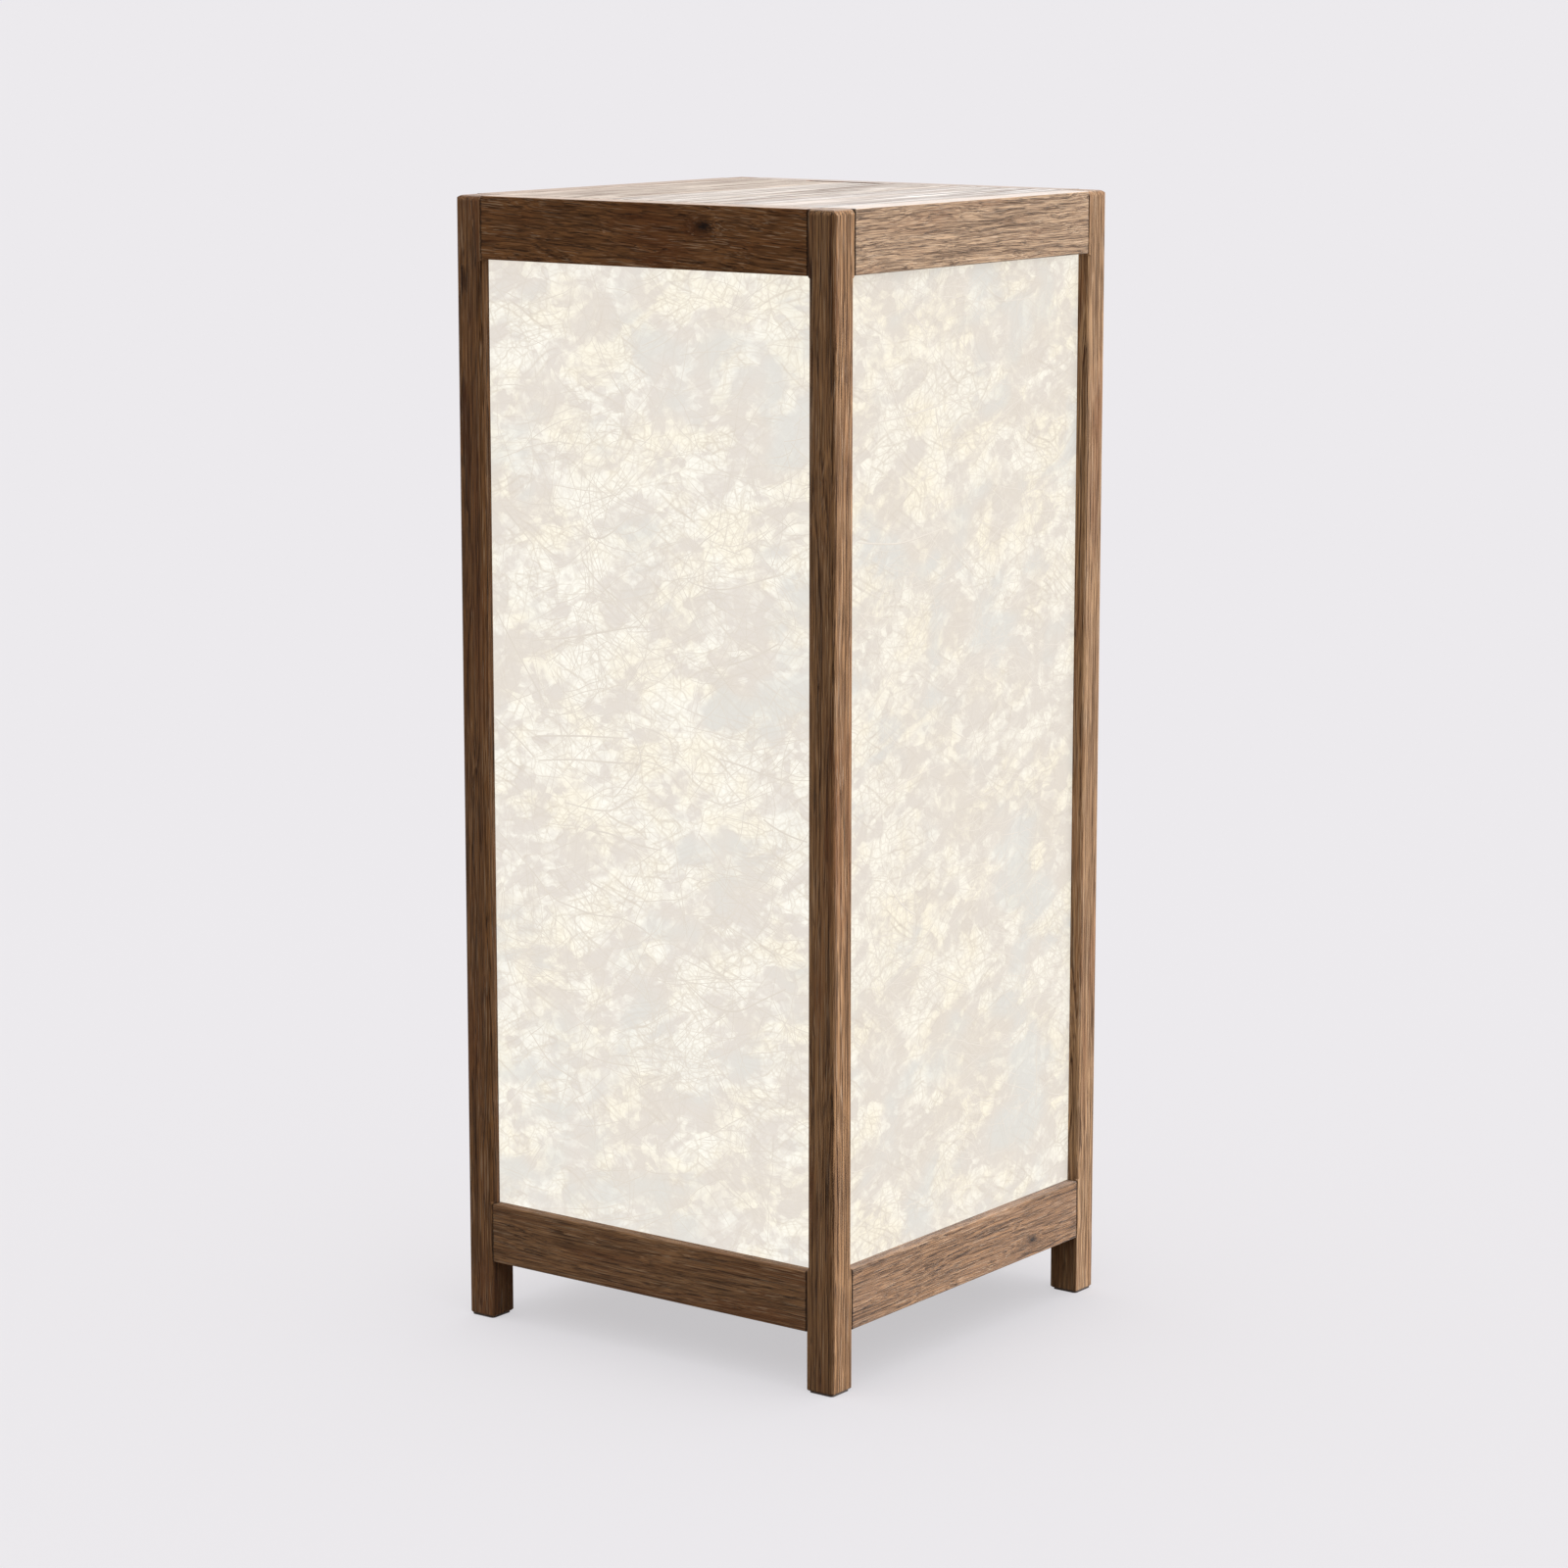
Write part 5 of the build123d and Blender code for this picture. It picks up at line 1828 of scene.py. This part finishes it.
@dataclass
class Wiring(Fittings):
    """Base board, wiring channel, switch, bush, pipe and lead."""

    finishes: Mapping[str, tuple[Fitting, Sequence[str]]] = field(
        default_factory=lambda: {
            "zinc_plate": (
                MetalFinish(tint(196, 198, 200), tint(168, 170, 168), 0.30, 0.4),
                ("base_board_screws", "channel_screws", "flange_screws", "lid_batten_screws"),
            ),
            "plated_pipe": (
                MetalFinish(tint(198, 198, 196), tint(160, 158, 152), 0.26, 0.5),
                ("lamp_pipe", "pipe_nuts", "pipe_washer"),
            ),
            "turned_brass": (
                MetalFinish(tint(224, 190, 118), tint(186, 146, 84), 0.22, 0.2),
                ("pipe_flange", "switch_terminals", "holder_contact", "holder_screw_shell"),
            ),
            "stoved_enamel": (
                MouldedFinish(
                    tint(226, 226, 222), tint(212, 211, 205), 0.30,
                    coarse=20.0, fine=1.6, relief=0.00006, coat=0.3,
                ),
                ("wiring_channel",),
            ),
            "white_sheath": (
                MouldedFinish(tint(232, 231, 226), tint(216, 214, 206), 0.45, fine=0.8),
                ("lamp_lead",),
            ),
            "grained_nylon": (
                MouldedFinish(
                    tint(38, 38, 39), tint(52, 51, 50), 0.55, fine=0.35, relief=0.00006
                ),
                ("switch_housing",),
            ),
            "gloss_rocker": (
                MouldedFinish(tint(34, 34, 35), tint(46, 46, 47), 0.16, coat=0.6),
                ("switch_rocker",),
            ),
            "bush_nylon": (
                MouldedFinish(tint(40, 39, 38), tint(55, 53, 51), 0.6, fine=0.4),
                ("cord_bush",),
            ),
            "glide_nylon": (
                MouldedFinish(tint(52, 42, 36), tint(68, 58, 50), 0.6, fine=0.6),
                ("foot_glides",),
            ),
        }
    )

    def build(self) -> None:
        """Dresses the base's and the stem's nodes."""
        dress("base_board", PlyFinish().material("birch_ply"))
        super().build()


@dataclass
class LampHolder(Fittings):
    """Lamp holder and the opal lamp in it."""

    finishes: Mapping[str, tuple[Fitting, Sequence[str]]] = field(
        default_factory=lambda: {
            "black_phenolic": (
                MouldedFinish(
                    tint(38, 33, 31), tint(56, 47, 42), 0.20, coarse=5.0, fine=0.4, coat=0.4
                ),
                ("holder_cap", "holder_skirt"),
            ),
            "glazed_porcelain": (
                MouldedFinish(tint(238, 236, 228), tint(226, 222, 210), 0.14, coat=0.7),
                ("holder_core",),
            ),
            "nickel_plate": (
                MetalFinish(tint(206, 205, 202), tint(176, 172, 164), 0.18, 0.3),
                ("bulb_cap",),
            ),
            "tinned_button": (
                MetalFinish(tint(190, 190, 186), tint(150, 148, 142), 0.35, 0.3),
                ("bulb_button",),
            ),
            "black_glass": (
                MouldedFinish(tint(24, 24, 26), tint(36, 36, 40), 0.12, coat=0.5),
                ("bulb_insulator",),
            ),
            "white_collar": (
                MouldedFinish(tint(240, 239, 234), tint(228, 226, 218), 0.42),
                ("bulb_collar",),
            ),
            "lit_opal": (
                MouldedFinish(
                    tint(255, 244, 222), tint(255, 236, 206), 0.35, coarse=60.0, glow=1.6
                ),
                ("bulb_globe",),
            ),
        }
    )


@dataclass
class Studio:
    """Camera, lamps, world and seamless floor.

    Attributes:
        backdrop: Colour behind and under the lamp.
        ambient: Strength of the light from all round.
        warmth: Colour of that light.
        ground: Colour of the floor where it takes the shadow.
        bounce: Brightness of the floor as the lamp meets it.
        shadow_share: How much of the floor's look takes the shadow.
        key_colour: Colour of the main lamp.
        camera_place: Place of the camera.
        yaw: Turn of the camera about the upright axis.
        pitch: How far the camera looks down.
        lens: Focal length in millimetres.
    """

    backdrop: Colour = tint(235, 233, 236)
    ambient: float = 0.20
    warmth: Colour = (1.0, 0.86, 0.70, 1.0)
    ground: Colour = (0.889, 0.892, 0.957, 1.0)
    bounce: float = 0.24
    shadow_share: float = 0.35
    key_colour: Point = (0.985, 1.0, 1.05)
    camera_place: Point = (2.2064, -2.9541, 1.1292)
    yaw: float = math.radians(36.76)
    pitch: float = math.radians(10.46)
    lens: float = 102.9

    def build(self) -> None:
        """Sets up everything that isn't the lamp."""
        self.camera()
        self.world()
        floor = self.floor()
        key = self.sun("key_lamp", strength=4.5, tilt=(64.0, 0.0, 128.0), spread=36.0)
        key.data.color = self.key_colour
        self.spare(floor, key)
        self.sun("top_lamp", strength=2.4, tilt=(0.0, 0.0, 0.0), spread=116.0)
        bpy.context.scene.view_settings.view_transform = "Standard"

    def camera(self) -> None:
        """Places the camera and looks through it."""
        data = bpy.data.cameras.new("camera")
        data.lens = self.lens
        data.sensor_width = 36.0
        data.clip_end = 400.0
        camera = bpy.data.objects.new("camera", data)
        camera.location = self.camera_place
        level = math.cos(self.pitch)
        forward = Vector((
            -math.sin(self.yaw) * level,
            math.cos(self.yaw) * level,
            -math.sin(self.pitch),
        ))
        camera.rotation_euler = forward.to_track_quat("-Z", "Y").to_euler()
        bpy.context.collection.objects.link(camera)
        bpy.context.scene.camera = camera

    def sun(self, name: str, strength: float, tilt: Point, spread: float) -> bpy.types.Object:
        """Adds one soft lamp.

        Args:
            name: The lamp's name.
            strength: Its strength.
            tilt: Its turn in degrees.
            spread: Its width in degrees, which softens shadows.

        Returns:
            The lamp.
        """
        data = bpy.data.lights.new(name, "SUN")
        data.energy = strength
        data.angle = math.radians(spread)
        lamp = bpy.data.objects.new(name, data)
        lamp.rotation_euler = tuple(math.radians(turn) for turn in tilt)
        bpy.context.collection.objects.link(lamp)
        return lamp

    def spare(self, floor: bpy.types.Object, lamp: bpy.types.Object) -> None:
        """Keeps a lamp off the floor, so it throws no long shadow across it.

        Args:
            floor: The floor.
            lamp: The lamp.
        """
        left_out = bpy.data.collections.new("not_lit_by_key")
        left_out.objects.link(floor)
        lamp.light_linking.receiver_collection = left_out
        left_out.collection_objects[0].light_linking.link_state = "EXCLUDE"

    def seen(self, g: Graph) -> Socket:
        """Tells the rays from the camera and those off metal or through glass.

        Args:
            g: The graph to add to.

        Returns:
            1 for those rays and 0 for others.
        """
        path = g.add("ShaderNodeLightPath").outputs
        shiny = g.math("MAXIMUM", path["Is Glossy Ray"], path["Is Transmission Ray"])
        return g.math("MAXIMUM", path["Is Camera Ray"], shiny)

    def world(self) -> None:
        """Lights softly from all round, behind a plain pale backdrop."""
        world = bpy.data.worlds.new("studio")
        world.use_nodes = True
        bpy.context.scene.world = world
        g = Graph(world.node_tree)
        dim = g.add("ShaderNodeBackground", {0: self.warmth, 1: self.ambient}).outputs[0]
        plain = g.add("ShaderNodeBackground", {0: self.backdrop, 1: 1.0}).outputs[0]
        g.add("ShaderNodeOutputWorld", {0: g.blended(self.seen(g), dim, plain)})

    def floor(self) -> bpy.types.Object:
        """Lays the pale floor that runs into the backdrop and takes a soft shadow.

        Returns:
            The floor.
        """
        bpy.ops.object.select_all(action="DESELECT")
        bpy.ops.mesh.primitive_circle_add(vertices=96, radius=160.0, fill_type="NGON")
        floor = bpy.context.object
        floor.name = "studio_floor"
        material = bpy.data.materials.new("pale_floor")
        material.use_nodes = True
        g = Graph(material.node_tree)
        red, green, blue, _ = (self.bounce * channel for channel in self.warmth)
        matt = g.add("ShaderNodeBsdfDiffuse", {0: self.ground}).outputs[0]
        dim = g.add("ShaderNodeBsdfDiffuse", {0: (red, green, blue, 1.0)}).outputs[0]
        glow = g.add("ShaderNodeEmission", {0: self.backdrop, 1: 1.0}).outputs[0]
        soft = g.blended(self.shadow_share, glow, matt)
        g.add("ShaderNodeOutputMaterial", {0: g.blended(self.seen(g), dim, soft)})
        floor.data.materials.append(material)
        return floor


def main() -> None:
    """Builds the lamp's finishes and paper, then the studio."""
    logging.basicConfig(level=logging.INFO, format="%(message)s")
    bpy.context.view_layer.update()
    parts = (OakFrame(), Lid(), InnerStrips(), WashiPanels(), Wiring(), LampHolder(), Studio())
    for part in parts:
        part.build()
        LOG.info("%s done", type(part).__name__)


if __name__ == "__main__":
    main()
